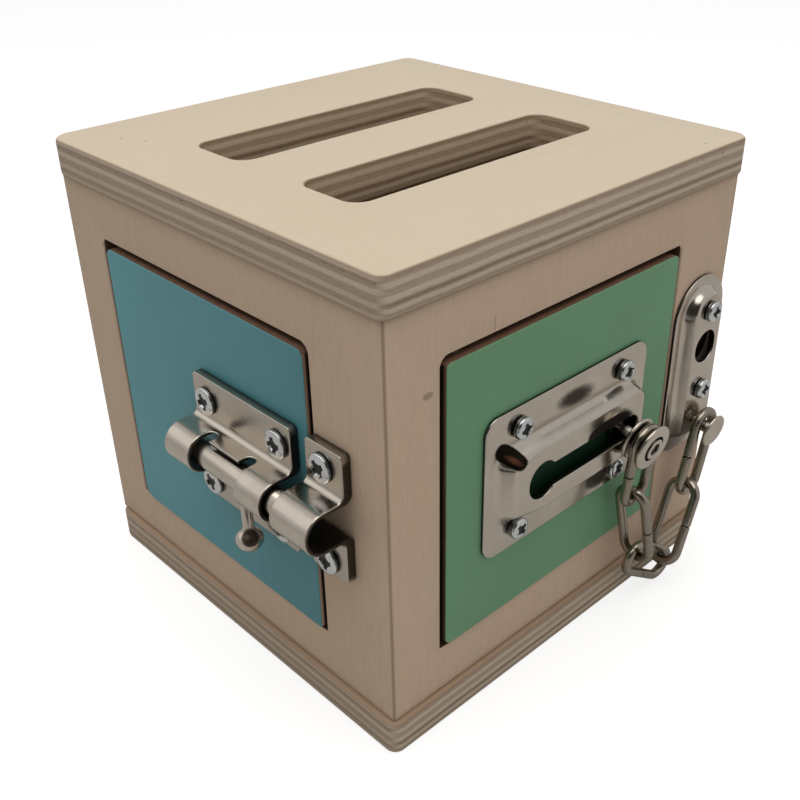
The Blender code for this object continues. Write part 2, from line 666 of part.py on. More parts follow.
def make_anchor_stud():
    """A riveted stud: foot in the hollow of the plate, shaft and domed head."""
    under = SEAT_GAP + ANCHOR_BOSS_OUT - ANCHOR_SHEET - SEAT_GAP
    out, thick = ANCHOR_STUD_OUT, ANCHOR_STUD_HEAD_THICK
    wide = ANCHOR_STUD_HEAD_RADIUS
    profile = ((under - ANCHOR_STUD_FOOT_THICK, ANCHOR_STUD_FOOT_RADIUS),
               (under, ANCHOR_STUD_FOOT_RADIUS), (under, ANCHOR_STUD_RADIUS),
               (out, ANCHOR_STUD_RADIUS), (out, wide - STUD_DISC_EASE),
               (out + STUD_DISC_EASE, wide), (out + thick / 2, wide),
               (out + thick, wide * HEAD_SHARES[2][1]))
    finish(turned("anchor_stud", profile, (ANCHOR_STUD_ALONG, ANCHOR_STUD_RISE)),
           "nickel_plate", FRONT)


def lean(angles):
    """Unit direction that leans towards +X and then out from the front."""
    along, out = (math.tan(math.radians(angle)) for angle in angles)
    return Vector((along, -out, -1)).normalized()


def link_frame(bend, down, across):
    """Frame of a link at the middle of its upper bend: across, out of its plane, up."""
    side = (across - across.dot(down) * down).normalized()
    frame = Matrix.Identity(4)
    for column, vector in enumerate((side, side.cross(down), -down, bend)):
        frame.col[column].xyz = vector
    return frame


def hang_from(upper, down, across):
    """Frame of a link that hangs from another with a running gap, and the pivot of the two."""
    lower = link_frame(Vector(), down, across)
    line = upper.col[1].xyz.cross(lower.col[1].xyz).normalized()
    line *= math.copysign(1, -line.dot(upper.col[2].xyz))
    foot = upper @ Vector((0, 0, -LINK_STRAIGHT))
    lower.col[3].xyz = foot + line * (2 * LINK_BEND - LINK_STEP)
    return lower, foot + line * LINK_BEND


def hang_on_round(middle, radius, down, across):
    """Frame of a link that hangs on a round pin or hub."""
    lift = LINK_BEND - (radius + RUN_GAP + WIRE_RADIUS)
    return link_frame(middle + lift * down, down, across)


def bend_path(end):
    """Centre line of the upper (1) or lower (-1) bend of a link, as (across, up)."""
    middle = 0 if end > 0 else -LINK_STRAIGHT
    turns = [math.pi * step / (2 * ARC_STEPS) for step in range(2 * ARC_STEPS + 1)]
    return [(LINK_BEND * math.cos(t), middle + end * LINK_BEND * math.sin(t))
            for t in turns]


def wire_ring(point, ahead, slant=0):
    """A ring of the wire round a point of the path, slanted where the wire is cut."""
    side = Vector((ahead.y, -ahead.x))
    ring = []
    for step in range(WIRE_STEPS):
        turn = 2 * math.pi * step / WIRE_STEPS
        wide = WIRE_RADIUS * math.cos(turn)
        spot = point + side * wide + ahead * wide * math.tan(slant)
        ring.append((spot.x, WIRE_RADIUS * math.sin(turn), spot.y))
    return ring


def path_rings(path, closes):
    rings = []
    for place, spot in enumerate(path):
        before = path[place - 1] if closes or place else spot
        after = path[(place + 1) % len(path)] if closes or place < len(path) - 1 else spot
        ahead = (Vector(after) - Vector(before)).normalized()
        rings.append(wire_ring(Vector(spot), ahead))
    return rings


def make_link(name, frame, pivot):
    path = bend_path(1) + bend_path(-1)[::-1]
    finish(loft(name, path_rings(path, True), True), "chain_nickel", frame, pivot)


def make_half_link(name, frame, pivot, end):
    """Half a link, cut on a slant so that each half swings clear of the other."""
    gap = SEAT_GAP / math.cos(LINK_CUT_SLANT)
    cut = end * gap / 2 - LINK_STRAIGHT / 2
    first = wire_ring(Vector((LINK_BEND, cut)), Vector((0, end)), LINK_CUT_SLANT)
    last = wire_ring(Vector((-LINK_BEND, cut)), Vector((0, -end)), LINK_CUT_SLANT)
    rings = [first] + path_rings(bend_path(end), False) + [last]
    finish(loft(name, rings), "chain_nickel", frame, pivot)


def make_chain():
    """Hangs links from both ends of the chain, so that they meet in link C."""
    hub = stud_frame() @ Vector((0, 0, STUD_HUB_OUT))
    stud = FRONT @ Vector((ANCHOR_STUD_ALONG, ANCHOR_STUD_RISE, LINK_E_OUT))
    along, outward = Vector((1, 0, 0)), Vector((0, -1, 0))
    link_a = hang_on_round(hub, STUD_HUB_RADIUS, lean(LINK_A_LEAN), along)
    link_b, pivot_b = hang_from(link_a, lean(LINK_B_LEAN), outward)
    link_c, pivot_c = hang_from(link_b, lean(LINK_C_LEAN), along)
    link_e = hang_on_round(stud, ANCHOR_STUD_RADIUS, lean(LINK_E_LEAN), along)
    link_d, pivot_d = hang_from(link_e, lean(LINK_D_LEAN), outward)
    _, pivot_c_lower = hang_from(link_d, lean(LINK_C_LEAN), along)
    make_link("chain_link_a", link_a, hub)
    make_link("chain_link_b", link_b, pivot_b)
    make_half_link("chain_link_c_upper", link_c, pivot_c, 1)
    make_half_link("chain_link_c_lower", link_c, pivot_c_lower, -1)
    make_link("chain_link_d", link_d, pivot_d)
    make_link("chain_link_e", link_e, stud)


def main():
    clear_scene()
    bolt_spots = corner_spots(((BOLT_PLATE_START + BOLT_PLATE_END) / 2, BOLT_PLATE_RISE),
                              BOLT_PLATE_LENGTH, BOLT_PLATE_HEIGHT, BOLT_SCREW_INSET,
                              BOLT_SCREW_EDGE)
    keeper_spots = [(KEEPER_START + KEEPER_LENGTH / 2,
                     BOLT_PLATE_RISE + up * (BOLT_PLATE_HEIGHT / 2 - BOLT_SCREW_EDGE))
                    for up in (1, -1)]
    key_spots = corner_spots((KEY_CENTRE, KEY_RISE), KEY_WIDTH, KEY_HEIGHT, KEY_SCREW_INSET,
                             KEY_SCREW_EDGE)
    anchor_spots = [(ANCHOR_CENTRE, ANCHOR_LOW + up)
                    for up in (ANCHOR_HIGH_SCREW_UP, ANCHOR_LOW_SCREW_UP)]
    bolt_seat = ON_DOOR + BOLT_PLATE_FLANGE
    keeper_seat = SEAT_GAP + KEEPER_FLANGE
    key_seat = ON_DOOR + KEY_SHEET
    anchor_seat = SEAT_GAP + ANCHOR_BOSS_OUT

    make_plates()
    make_wall("front_wall", FRONT, anchor_spots, anchor_seat)
    make_wall("left_wall", SIDE, keeper_spots, keeper_seat)
    make_plain_walls()
    make_door("front_door", FRONT, "green_paint", key_spots, key_seat)
    make_door("side_door", SIDE, "teal_paint", bolt_spots, bolt_seat)
    for prefix, frame in (("front", FRONT), ("side", SIDE)):
        make_pins(prefix + "_door", frame)
        make_stop(prefix + "_door_stop", frame)

    make_bolt_body(bolt_spots)
    make_bolt()
    make_keeper(keeper_spots)
    make_key_plate(key_spots)
    make_slide_stud()
    make_anchor_plate(anchor_spots)
    make_anchor_stud()
    blank = screw_blank()
    make_screws(blank, "bolt", SIDE, bolt_spots, bolt_seat, hinge_point(SIDE))
    make_screws(blank, "keeper", SIDE, keeper_spots, keeper_seat)
    make_screws(blank, "keyhole_plate", FRONT, key_spots, key_seat, hinge_point(FRONT))
    make_screws(blank, "anchor", FRONT, anchor_spots, anchor_seat)
    bpy.data.objects.remove(blank)
    make_chain()


main()
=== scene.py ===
"""Looks of the wooden latch box: plywood plates and walls, two painted doors, a barrel bolt, a
keyhole track with its slide stud, an anchor plate and the chain between them."""

import math
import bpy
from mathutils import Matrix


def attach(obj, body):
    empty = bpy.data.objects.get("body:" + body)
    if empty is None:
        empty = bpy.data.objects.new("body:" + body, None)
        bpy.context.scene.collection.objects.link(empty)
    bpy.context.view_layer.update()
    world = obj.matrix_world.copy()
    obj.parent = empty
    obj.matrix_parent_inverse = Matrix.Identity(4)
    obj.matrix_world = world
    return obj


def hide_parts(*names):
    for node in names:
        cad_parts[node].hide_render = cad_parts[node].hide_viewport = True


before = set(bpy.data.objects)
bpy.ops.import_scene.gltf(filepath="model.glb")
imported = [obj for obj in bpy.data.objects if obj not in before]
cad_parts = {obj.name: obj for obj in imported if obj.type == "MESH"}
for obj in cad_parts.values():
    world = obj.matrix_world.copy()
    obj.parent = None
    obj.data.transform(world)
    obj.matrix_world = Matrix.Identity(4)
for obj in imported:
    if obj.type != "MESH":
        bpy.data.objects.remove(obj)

from types import SimpleNamespace

import bmesh
import bpy
import numpy as np
from bpy.props import FloatProperty, FloatVectorProperty, IntProperty, PointerProperty
from mathutils import Matrix, Vector
from mathutils.geometry import delaunay_2d_cdt

bl_info = {
    "name": "Wooden latch box",
    "version": (1, 0, 0),
    "blender": (4, 5, 0),
    "location": "3D View > Sidebar > Latch box",
    "description": "Builds the looks of a plywood latch box over its packed frame",
    "category": "Object",
}


# Settings


def length(name, default, note):
    return FloatProperty(name=name, description=note, default=default, min=0.0,
                         unit="LENGTH", precision=5)


def turn(name, degrees, note):
    return FloatProperty(name=name, description=note, default=math.radians(degrees),
                         subtype="ANGLE")


def corners(name, millimetres):
    return FloatVectorProperty(name=name, size=4, min=0.0, unit="LENGTH", precision=5,
                               default=[size / 1000 for size in millimetres],
                               description="Radii from the upper right corner by the left")


def factor(name, default, note, **limits):
    return FloatProperty(name=name, description=note, default=default, min=0.0,
                         subtype="FACTOR", **limits)


def power(name, default, note):
    return FloatProperty(name=name, description=note, default=default, min=0.0,
                         unit="POWER")


def direction(name, default, note):
    return FloatVectorProperty(name=name, description=note, default=default, size=3,
                               subtype="DIRECTION")


def colour(name, default, note):
    return FloatVectorProperty(name=name, description=note, default=default, size=3,
                               min=0.0, max=1.0, subtype="COLOR")


class BoxSizes(bpy.types.PropertyGroup):
    side: length("Side", 0.150, "Width and depth of the plates")
    height: length("Height", 0.149, "Height over both plates")
    plate: length("Plate thickness", 0.0115, "Thickness of the top and bottom plate")
    plate_corners: corners("Plate corners", (4.0, 6.3, 3.6, 5.0))
    ease: length("Edge rounding", 0.0012, "Rounding of the upper edges")
    inset: length("Wall inset", 0.0017, "How far the walls stand back from the plates")
    wall: length("Wall thickness", 0.009, "Thickness of the walls")
    slot_length: length("Slot length", 0.097, "Length of the slots in the top")
    slot_width: length("Slot width", 0.0236, "Width of the slots in the top")
    slot_pitch: length("Slot pitch", 0.0492, "Distance between the slots' middles")
    slot_corner: length("Slot corner", 0.005, "Corner radius of the slots")
    hinge_stile: length("Hinge stile", 0.0174, "Wall left beside the hinge edge")
    latch_stile: length("Latch stile", 0.0282, "Wall left beside the latch edge")
    rail: length("Rail", 0.016, "Wall left above and below an opening")
    side_trim: length("Side trim", 0.0025, "Side opening narrower than the front one")
    side_corners: corners("Side opening corners", (3.2, 1.0, 2.6, 0.7))
    front_corners: corners("Front opening corners", (1.0, 3.2, 0.8, 3.5))


class DoorSizes(bpy.types.PropertyGroup):
    gap: length("Gap", 0.0015, "Gap round a door")
    thick: length("Thickness", 0.009, "Thickness of a door")
    proud: length("Proud", 0.001, "How far a door stands out of its wall")
    ease: length("Edge rounding", 0.0004, "Rounding of the painted edge")
    sag: length("Sag", 0.0006, "How far a door hangs under its middle")
    side_trim: length("Side trim", 0.0032, "Side door narrower than the front one")
    front_shift: length("Front shift", 0.0007, "Front door towards its latch edge")
    side_corners: corners("Side door corners", (2.6, 2.2, 4.0, 0.8))
    front_corners: corners("Front door corners", (2.2, 1.6, 2.4, 2.5))


class BoltSizes(bpy.types.PropertyGroup):
    length: length("Body length", 0.045, "Length of the bolt's body")
    height: length("Body height", 0.0408, "Height over both flanges")
    lift: length("Body lift", 0.0015, "Body's middle above the door's middle")
    setback: length("Setback", 0.0036, "From the door's latch edge to the body")
    flange: length("Flange", 0.0027, "Thickness of the flanges")
    corner: length("Flange corner", 0.0013, "Corner radius of the flanges")
    sheet: length("Sheet", 0.0011, "Thickness of the straps")
    bend: length("Bend", 0.0022, "Radius of the fillet between flange and web")
    axis_lift: length("Axis lift", 0.0019, "Rod's axis above the door's middle")
    axis_out: length("Axis out", 0.0098, "Rod's axis in front of the wall")
    radius: length("Rod radius", 0.0040, "Radius of the rod")
    gap: length("Rod gap", 0.0011, "Play of the rod in the body")
    tail: length("Rod tail", 0.001, "From the body's end to the rod's tail")
    short: length("Rod short", 0.0003, "From the rod's tip to the keeper")
    rear: length("Rear loop", 0.0117, "Length of the rear loop")
    front: length("Front loop", 0.011, "Length of the front loop")
    web_out: length("Web", 0.0065, "Lower edge of the window in front of the wall")
    tab: length("Tab", 0.0010, "Reach of the tab past the rod's axis")
    relief: length("Relief", 0.0021, "Radius of the notches beside the tab")
    relief_in: length("Relief depth", 0.0010, "Middle of the notches behind the axis")
    knob_setback: length("Knob setback", 0.0175, "From the body's front end to the knob")
    knob_shift: length("Knob shift", 0.0022, "Knob nearer the keeper than it is packed")
    knob_drop: length("Knob drop", 0.0208, "Knob's middle below the rod's axis")
    knob_radius: length("Knob radius", 0.0041, "Radius of the knob")
    knob_height: length("Knob height", 0.0071, "Height of the knob")
    stem: length("Stem radius", 0.00165, "Radius of the knob's stem")
    screw_inset: length("Screw inset", 0.0062, "Screws from the body's ends")
    screw_edge: length("Screw edge", 0.0055, "Screws from the flanges' edges")
    keeper_setback: length("Keeper setback", 0.0, "From the opening to the keeper")
    keeper_length: length("Keeper length", 0.0149, "Length of the keeper")
    keeper_flange: length("Keeper flange", 0.0029, "Thickness of the keeper's flanges")
    keeper_gap: length("Keeper gap", 0.0014, "Play of the rod in the keeper")


class TrackSizes(bpy.types.PropertyGroup):
    setback: length("Setback", 0.013, "From the door's latch edge to the plate")
    drop: length("Drop", 0.0003, "Plate's middle under the door's middle")
    width: length("Width", 0.071, "Width of the keyhole plate")
    height: length("Height", 0.046, "Height of the keyhole plate")
    corner: length("Corner", 0.005, "Corner radius of the plate")
    sheet: length("Sheet", 0.0012, "Thickness of the sheet")
    out: length("Track out", 0.0047, "How far the track stands out")
    left: length("Left rim", 0.0029, "Flat rim left of the track")
    right: length("Right rim", 0.0031, "Flat rim right of the track")
    rise: length("Track height", 0.026, "Height of the raised track")
    sink: length("Track drop", 0.0007, "Track's middle under the plate's middle")
    slope: length("Slope", 0.003, "Width of the track's slopes")
    left_slope: length("Left slope", 0.0065, "Width of the gentle slope at the track's left")
    hole_inset: length("Hole inset", 0.0163, "From the track's end to the round hole")
    hole: length("Hole radius", 0.0059, "Radius of the round hole")
    slot: length("Slot height", 0.0076, "Height of the slot")
    slot_sink: length("Slot drop", 0.0006, "Slot under the track's middle")
    slot_inset: length("Slot inset", 0.005, "From the slot's end to the track's end")
    screw_inset: length("Screw inset", 0.0123, "Screws from the plate's ends")
    screw_edge: length("Screw edge", 0.0056, "Screws from the plate's long edges")


class StudSizes(bpy.types.PropertyGroup):
    setback: length("Setback", 0.0038, "From the slot's end to the stud")
    droop: turn("Droop", 10.5, "How far the stud hangs nose down")
    shaft: length("Shaft radius", 0.0017, "Radius of the shaft")
    foot: length("Foot radius", 0.0045, "Radius of the foot inside the track")
    foot_thick: length("Foot thickness", 0.0008, "Thickness of the foot")
    foot_back: length("Foot back", 0.0034, "From the slot's mouth back to the foot")
    disc: length("Disc radius", 0.0076, "Radius of the front disc")
    rear_disc: length("Rear disc radius", 0.0070, "Radius of the disc next to the track")
    disc_thick: length("Disc thickness", 0.0013, "Thickness of a disc")
    hub: length("Hub radius", 0.003, "Radius of the hub that the chain hangs on")
    hub_length: length("Hub length", 0.0043, "Room between the discs")
    hub_out: length("Hub out", 0.0068, "Hub's middle out of the slot's mouth")
    rivet: length("Rivet radius", 0.0035, "Radius of the rivet on the front disc")
    rivet_out: length("Rivet height", 0.0005, "Height of the rivet")


class AnchorSizes(bpy.types.PropertyGroup):
    setback: length("Setback", 0.0149, "From the opening to the plate's middle")
    width: length("Width", 0.026, "Width of the anchor plate")
    length: length("Length", 0.0617, "Length of the anchor plate")
    drop: length("Drop", 0.0285, "Plate's foot under the door's middle")
    rim: length("Rim", 0.003, "Flat rim beside the boss")
    lip: length("Lip", 0.0042, "Flat lip under the boss")
    sheet: length("Sheet", 0.0012, "Thickness of the sheet")
    out: length("Boss out", 0.0037, "How far the boss stands out")
    slope: length("Slope", 0.0030, "Width of the boss's slope")
    foot_corner: length("Foot corner", 0.0072, "Radius of the lower corners")
    hole_up: length("Hole up", 0.0384, "Round hole above the foot")
    hole: length("Hole radius", 0.0055, "Radius of the round hole")
    high_screw: length("Upper screw", 0.0510, "Upper screw above the foot")
    low_screw: length("Lower screw", 0.0232, "Lower screw above the foot")
    stud_shift: length("Stud shift", 0.0005, "Stud beside the plate's middle")
    stud_up: length("Stud up", 0.011, "Stud above the foot")
    stud: length("Stud radius", 0.002, "Radius of the stud")
    stud_out: length("Stud out", 0.0114, "From the wall to the stud's head")
    droop: turn("Droop", 8.0, "How far the stud hangs nose down")
    head: length("Head radius", 0.0057, "Radius of the stud's head")
    head_thick: length("Head thickness", 0.0016, "Thickness of the stud's head")


class ChainSizes(bpy.types.PropertyGroup):
    wire: length("Wire radius", 0.0016, "Radius of the wire")
    inner_length: length("Inner length", 0.0258, "Length inside a link")
    inner_width: length("Inner width", 0.0066, "Width inside a link")
    gap: length("Play", 0.0003, "Play between two links")
    seam: length("Seam", 0.00030, "Width of the seam where a link closes")
    last_out: length("Last link out", 0.0082, "From the wall to the last link")
    sides: IntProperty(name="Wire sides", description="Sides of the round wire", default=20,
                       min=8, max=48)


class ScrewSizes(bpy.types.PropertyGroup):
    radius: length("Head radius", 0.0043, "Radius of the bolt's flat pan heads")
    height: length("Head height", 0.0014, "Height of the bolt's flat pan heads")
    small: length("Small head radius", 0.0034, "Radius of the heads on the front")
    small_height: length("Small head height", 0.0021, "Height of the heads on the front")
    recess: FloatProperty(name="Recess", description="Span of the recess over the head's width",
                          default=0.60, min=0.0, max=0.9, subtype="FACTOR")
    recess_wide: factor("Recess width", 0.40, "Width of the recess over its span", max=1.0)
    recess_deep: length("Recess depth", 0.0009, "Depth of the cross recess")


class Finishes(bpy.types.PropertyGroup):
    top: colour("Top veneer", (0.718, 0.613, 0.472), "Pale birch of the top")
    # Darker and browner than the top veneer; the bottom plate takes it on all its faces.
    ledge: colour("Ledge veneer", (0.43, 0.30, 0.20), "Browner birch of the bottom")
    wall: colour("Wall veneer", (0.60, 0.455, 0.34), "Pinkish birch of the walls")
    ply_light: colour("Light plies", (0.61, 0.515, 0.41), "Long grain plies at an edge")
    ply_dark: colour("Dark plies", (0.276, 0.20, 0.142), "End grain plies at an edge")
    burnt: colour("Cut edges", (0.075, 0.042, 0.026), "Scorched edges of the openings")
    door_edge: colour("Door edges", (0.20, 0.105, 0.065), "Bare edges of the doors")
    teal: colour("Teal paint", (0.105, 0.325, 0.375), "Satin paint of the side door")
    green: colour("Green paint", (0.165, 0.36, 0.205), "Satin paint of the front door")
    nickel: colour("Nickel", (0.62, 0.565, 0.50), "Bright nickel of bolt and plates")
    zinc: colour("Zinc", (0.72, 0.75, 0.78), "Bluish zinc of the screws")
    chain: colour("Chain nickel", (0.37, 0.33, 0.275), "Tumbled nickel of the chain")


class StageSettings(bpy.types.PropertyGroup):
    lens: FloatProperty(name="Lens", description="Focal length on a 36 mm sensor",
                        default=47.153, min=1.0, unit="CAMERA")
    place: FloatVectorProperty(name="Camera place", description="Where the camera stands",
                               default=(-0.21169, -0.23044, 0.23965), size=3,
                               subtype="TRANSLATION", unit="LENGTH")
    aim: direction("Camera direction", (0.59739242, 0.61689036, -0.51241447),
                   "Where the camera looks")
    rise: direction("Camera up", (0.3610673, 0.36363349, 0.85872061),
                    "Upward direction in the picture")
    shift: FloatVectorProperty(name="Shift", description="Shift across and up",
                               default=(-0.03435, 0.01146), size=2, subtype="NONE")
    sky: factor("Room light", 0.44, "Strength of the room's soft light")
    lamp: power("Lamp", 4.9, "Power of the soft lamp overhead")
    fill: power("Fill lamp", 1.1, "Power of the soft lamp in front")
    mirror: factor("Mirrored white", 0.22, "Share of the white background that metal shows",
                   max=1.0)


GROUPS = {"box": BoxSizes, "door": DoorSizes, "bolt": BoltSizes, "track": TrackSizes,
          "stud": StudSizes, "anchor": AnchorSizes, "chain": ChainSizes, "screw": ScrewSizes,
          "finish": Finishes, "stage": StageSettings}


class LatchBoxSettings(bpy.types.PropertyGroup):
    __annotations__ = {
        word: PointerProperty(type=kind, name=word.capitalize(),
                              description=f"Settings of the {word}")
        for word, kind in GROUPS.items()}


SEAT = 0.0003  # air between pieces that are packed as separate solids
CUT_EDGE = 0.0003  # rounding of a cut edge
LEAST_CORNER = 0.0004  # smallest radius of an outline's corner
WOOD_STEP = 0.006  # longest stretch between points of a wooden outline
MITRE = 0.012  # how far from its ends a wall begins to taper


def places(settings):
    """Positions that follow from the sizes: along a wall, up, and out of its face."""
    box, door, bolt, track = settings.box, settings.door, settings.bolt, settings.track
    anchor = settings.anchor
    p = SimpleNamespace()
    p.face = box.side / 2 - box.inset
    p.low = box.plate + SEAT
    p.high = box.height - box.plate - SEAT
    p.open_wide = 2 * p.face - box.hinge_stile - box.latch_stile
    p.open_high = box.height - 2 * box.plate - 2 * box.rail
    p.open_at = (box.hinge_stile - box.latch_stile) / 2
    p.rise = box.height / 2
    p.latch = p.open_at + p.open_wide / 2
    p.on_door = door.proud + SEAT
    p.axis = p.rise + bolt.axis_lift
    p.bolt_middle = p.rise + bolt.lift
    p.bolt_end = p.latch - door.gap - bolt.setback
    p.bolt_start = p.bolt_end - bolt.length
    p.window = (p.bolt_start + bolt.rear, p.bolt_end - bolt.front)
    p.knob = p.bolt_end - bolt.knob_setback
    p.keeper = p.latch + bolt.keeper_setback
    p.track_at = (p.latch - door.gap - track.setback - track.width / 2, p.rise - track.drop)
    p.boss = (p.track_at[0] - track.width / 2 + track.left,
              p.track_at[0] + track.width / 2 - track.right)
    p.boss_rise = p.track_at[1] - track.sink
    p.slot_rise = p.boss_rise - track.slot_sink
    p.hole = p.boss[0] + track.hole_inset
    p.slot_end = p.boss[1] - track.slot_inset
    p.stud = p.slot_end - settings.stud.setback
    p.anchor = p.latch + anchor.setback
    p.anchor_low = p.rise - anchor.drop
    p.anchor_stud = (p.anchor + anchor.stud_shift, p.anchor_low + anchor.stud_up)
    p.front = Matrix(((1, 0, 0, 0), (0, 0, -1, -p.face), (0, 1, 0, 0), (0, 0, 0, 1)))
    p.left = Matrix(((0, 0, -1, -p.face), (-1, 0, 0, 0), (0, 1, 0, 0), (0, 0, 0, 1)))
    return p


# Outlines


def rounded(width, height, corner, at=(0.0, 0.0), steps=10):
    """Outline of a rounded rectangle with one radius, or four from the upper right corner
    round by the left."""
    line = []
    corners = np.broadcast_to(corner, 4)
    for quarter, (right, up) in enumerate(((1, 1), (-1, 1), (-1, -1), (1, -1))):
        radius = max(float(corners[quarter]), LEAST_CORNER)
        middle = (at[0] + right * (width / 2 - radius), at[1] + up * (height / 2 - radius))
        line += list(arc(middle, radius, quarter * 90, quarter * 90 + 90, steps))
    return np.array(line)


def arc(middle, radius, start, end, steps):
    """Points of an arc between two angles in degrees."""
    turns = np.radians(np.linspace(start, end, steps + 1))
    return np.stack((middle[0] + radius * np.cos(turns),
                     middle[1] + radius * np.sin(turns)), 1)


def circle(radius, at=(0.0, 0.0), steps=48):
    return arc(at, radius, 0, 360, steps)[:-1]


def arched(width, low, high, corner, inset=0.0, lift=0.0, at=0.0, steps=40):
    """Outline with a round top and slightly rounded lower corners."""
    reach = width / 2 - inset
    radius = max(corner - inset, LEAST_CORNER)
    foot = low + inset + lift
    middle = (at, high - width / 2)
    top = arc(middle, reach, 0, 180, steps)
    left = arc((at - reach + radius, foot + radius), radius, 180, 270, 8)
    right = arc((at + reach - radius, foot + radius), radius, 270, 360, 8)
    return np.concatenate((top, left, right))


def keyhole(hole, radius, end, height, rise):
    """Outline of a round hole that runs into a slot with a round end."""
    half = height / 2
    meet = math.degrees(math.asin(half / radius))
    left = arc((hole, rise), radius, meet, 360 - meet, 40)
    right = arc((end - half, rise), half, -90, 90, 24)
    return np.concatenate((left, right))


def resample(line, step, closed=True):
    """The same line with extra points, so that no stretch is longer than the step."""
    ends = np.roll(line, -1, 0) if closed else line[1:]
    out = []
    for first, last in zip(line if closed else line[:-1], ends):
        count = max(1, int(math.ceil(np.linalg.norm(last - first) / step)))
        for part in range(count):
            out.append(first + (last - first) * part / count)
    if not closed:
        out.append(line[-1])
    return np.array(out)


def offset(line, distance):
    """A closed line moved to its left by a distance."""
    ahead = np.roll(line, -1, 0) - np.roll(line, 1, 0)
    ahead /= np.linalg.norm(ahead, axis=1)[:, None]
    return line + distance * np.stack((-ahead[:, 1], ahead[:, 0]), 1)


def contains(line, points):
    """Which points lie inside a closed line."""
    x, y = points[:, 0], points[:, 1]
    inside = np.zeros(len(points), bool)
    for (x0, y0), (x1, y1) in zip(line, np.roll(line, -1, 0)):
        if y0 == y1:
            continue
        crosses = (y0 > y) != (y1 > y)
        inside ^= crosses & (x < (x1 - x0) * (y - y0) / (y1 - y0) + x0)
    return inside


def distance(line, points, closed=True):
    """Distance from each point to a line."""
    ends = np.roll(line, -1, 0) if closed else line[1:]
    best = np.full(len(points), 1e9)
    for first, last in zip(line if closed else line[:-1], ends):
        run = last - first
        size = float(run @ run)
        if size < 1e-16:
            continue
        share = np.clip((points - first) @ run / size, 0, 1)
        gap = points - first - share[:, None] * run
        best = np.minimum(best, np.hypot(gap[:, 0], gap[:, 1]))
    return best


def signed(line, points):
    """Distance to a closed line, positive inside it."""
    return np.where(contains(line, points), 1, -1) * distance(line, points)


def ramp(x, soft):
    """Rises from 0 to 1 as x does, straight in the middle and soft at both ends."""
    def eased(t):
        return np.where(t <= -soft, 0, np.where(t >= soft, t, (t + soft) ** 2 / (4 * soft)))
    return (eased(x - soft) - eased(x - 1 + soft)) / (1 - 2 * soft)


# Meshes


def new_object(name, mesh):
    obj = bpy.data.objects.new(name, mesh)
    bpy.context.scene.collection.objects.link(obj)
    return obj


def point_values(mesh, name, values):
    """Gives each point of a mesh a number under a name."""
    layer = mesh.attributes.new(name, "FLOAT", "POINT")
    layer.data.foreach_set("value", [float(value) for value in values])


def mesh_piece(name, points, faces, sharp, shade):
    """A closed mesh with outward faces, smooth but for edges sharper than the angle. The
    shade of a point is painted shade on its metal, how dark and dull it looks; below zero it
    is a painted highlight."""
    mesh = bpy.data.meshes.new(name)
    mesh.from_pydata([tuple(map(float, point)) for point in points], [], faces)
    point_values(mesh, "shade", shade)
    return new_object(name, cleaned(mesh, sharp))


def cleaned(mesh, sharp):
    """The mesh joined up, with outward faces, smooth up to the sharp angle in degrees."""
    work = bmesh.new()
    work.from_mesh(mesh)
    bmesh.ops.remove_doubles(work, verts=work.verts, dist=1e-7)
    bmesh.ops.recalc_face_normals(work, faces=work.faces)
    work.to_mesh(mesh)
    work.free()
    mesh.shade_smooth()
    mesh.set_sharp_from_angle(angle=math.radians(sharp))
    return mesh


def lathe(name, profile, matrix, steps=64, sharp=40.0):
    """A turned solid about the frame's outward axis, capped at both ends. The profile's
    points are (out, radius) or (out, radius, shade)."""
    turns = 2 * np.pi * np.arange(steps) / steps
    points, faces, shade = [], [], []
    for out, radius, *dark in profile:
        points += [matrix @ Vector((radius * math.cos(t), radius * math.sin(t), out))
                   for t in turns]
        shade += [dark[0] if dark else 0.0] * steps
    for low in range(0, len(points) - steps, steps):
        for side in range(steps):
            after = low + (side + 1) % steps
            faces.append((low + side, after, after + steps, low + side + steps))
    faces += [tuple(range(steps)), tuple(range(len(points) - steps, len(points)))]
    return mesh_piece(name, points, faces, sharp, shade)


def flat_pattern(outline, holes, guides):
    """Triangles of a flat pattern with holes; the mesh follows the guide lines."""
    points, edges = [], []
    for line in [outline] + holes + guides:
        first = len(points)
        points += [Vector((float(x), float(y))) for x, y in line]
        count = len(line)
        edges += [(first + k, first + (k + 1) % count) for k in range(count)]
    found, _, faces, *_ = delaunay_2d_cdt(points, edges, [], 0, 1e-7)
    spots = np.array([tuple(v) for v in found])
    faces = np.array([tuple(f) for f in faces if len(f) == 3])
    middles = spots[faces].mean(1)
    keep = contains(outline, middles)
    for hole in holes:
        keep &= ~contains(hole, middles)
    faces = faces[keep]
    used = np.unique(faces)
    again = np.full(len(spots), -1)
    again[used] = np.arange(len(used))
    return spots[used], again[faces]


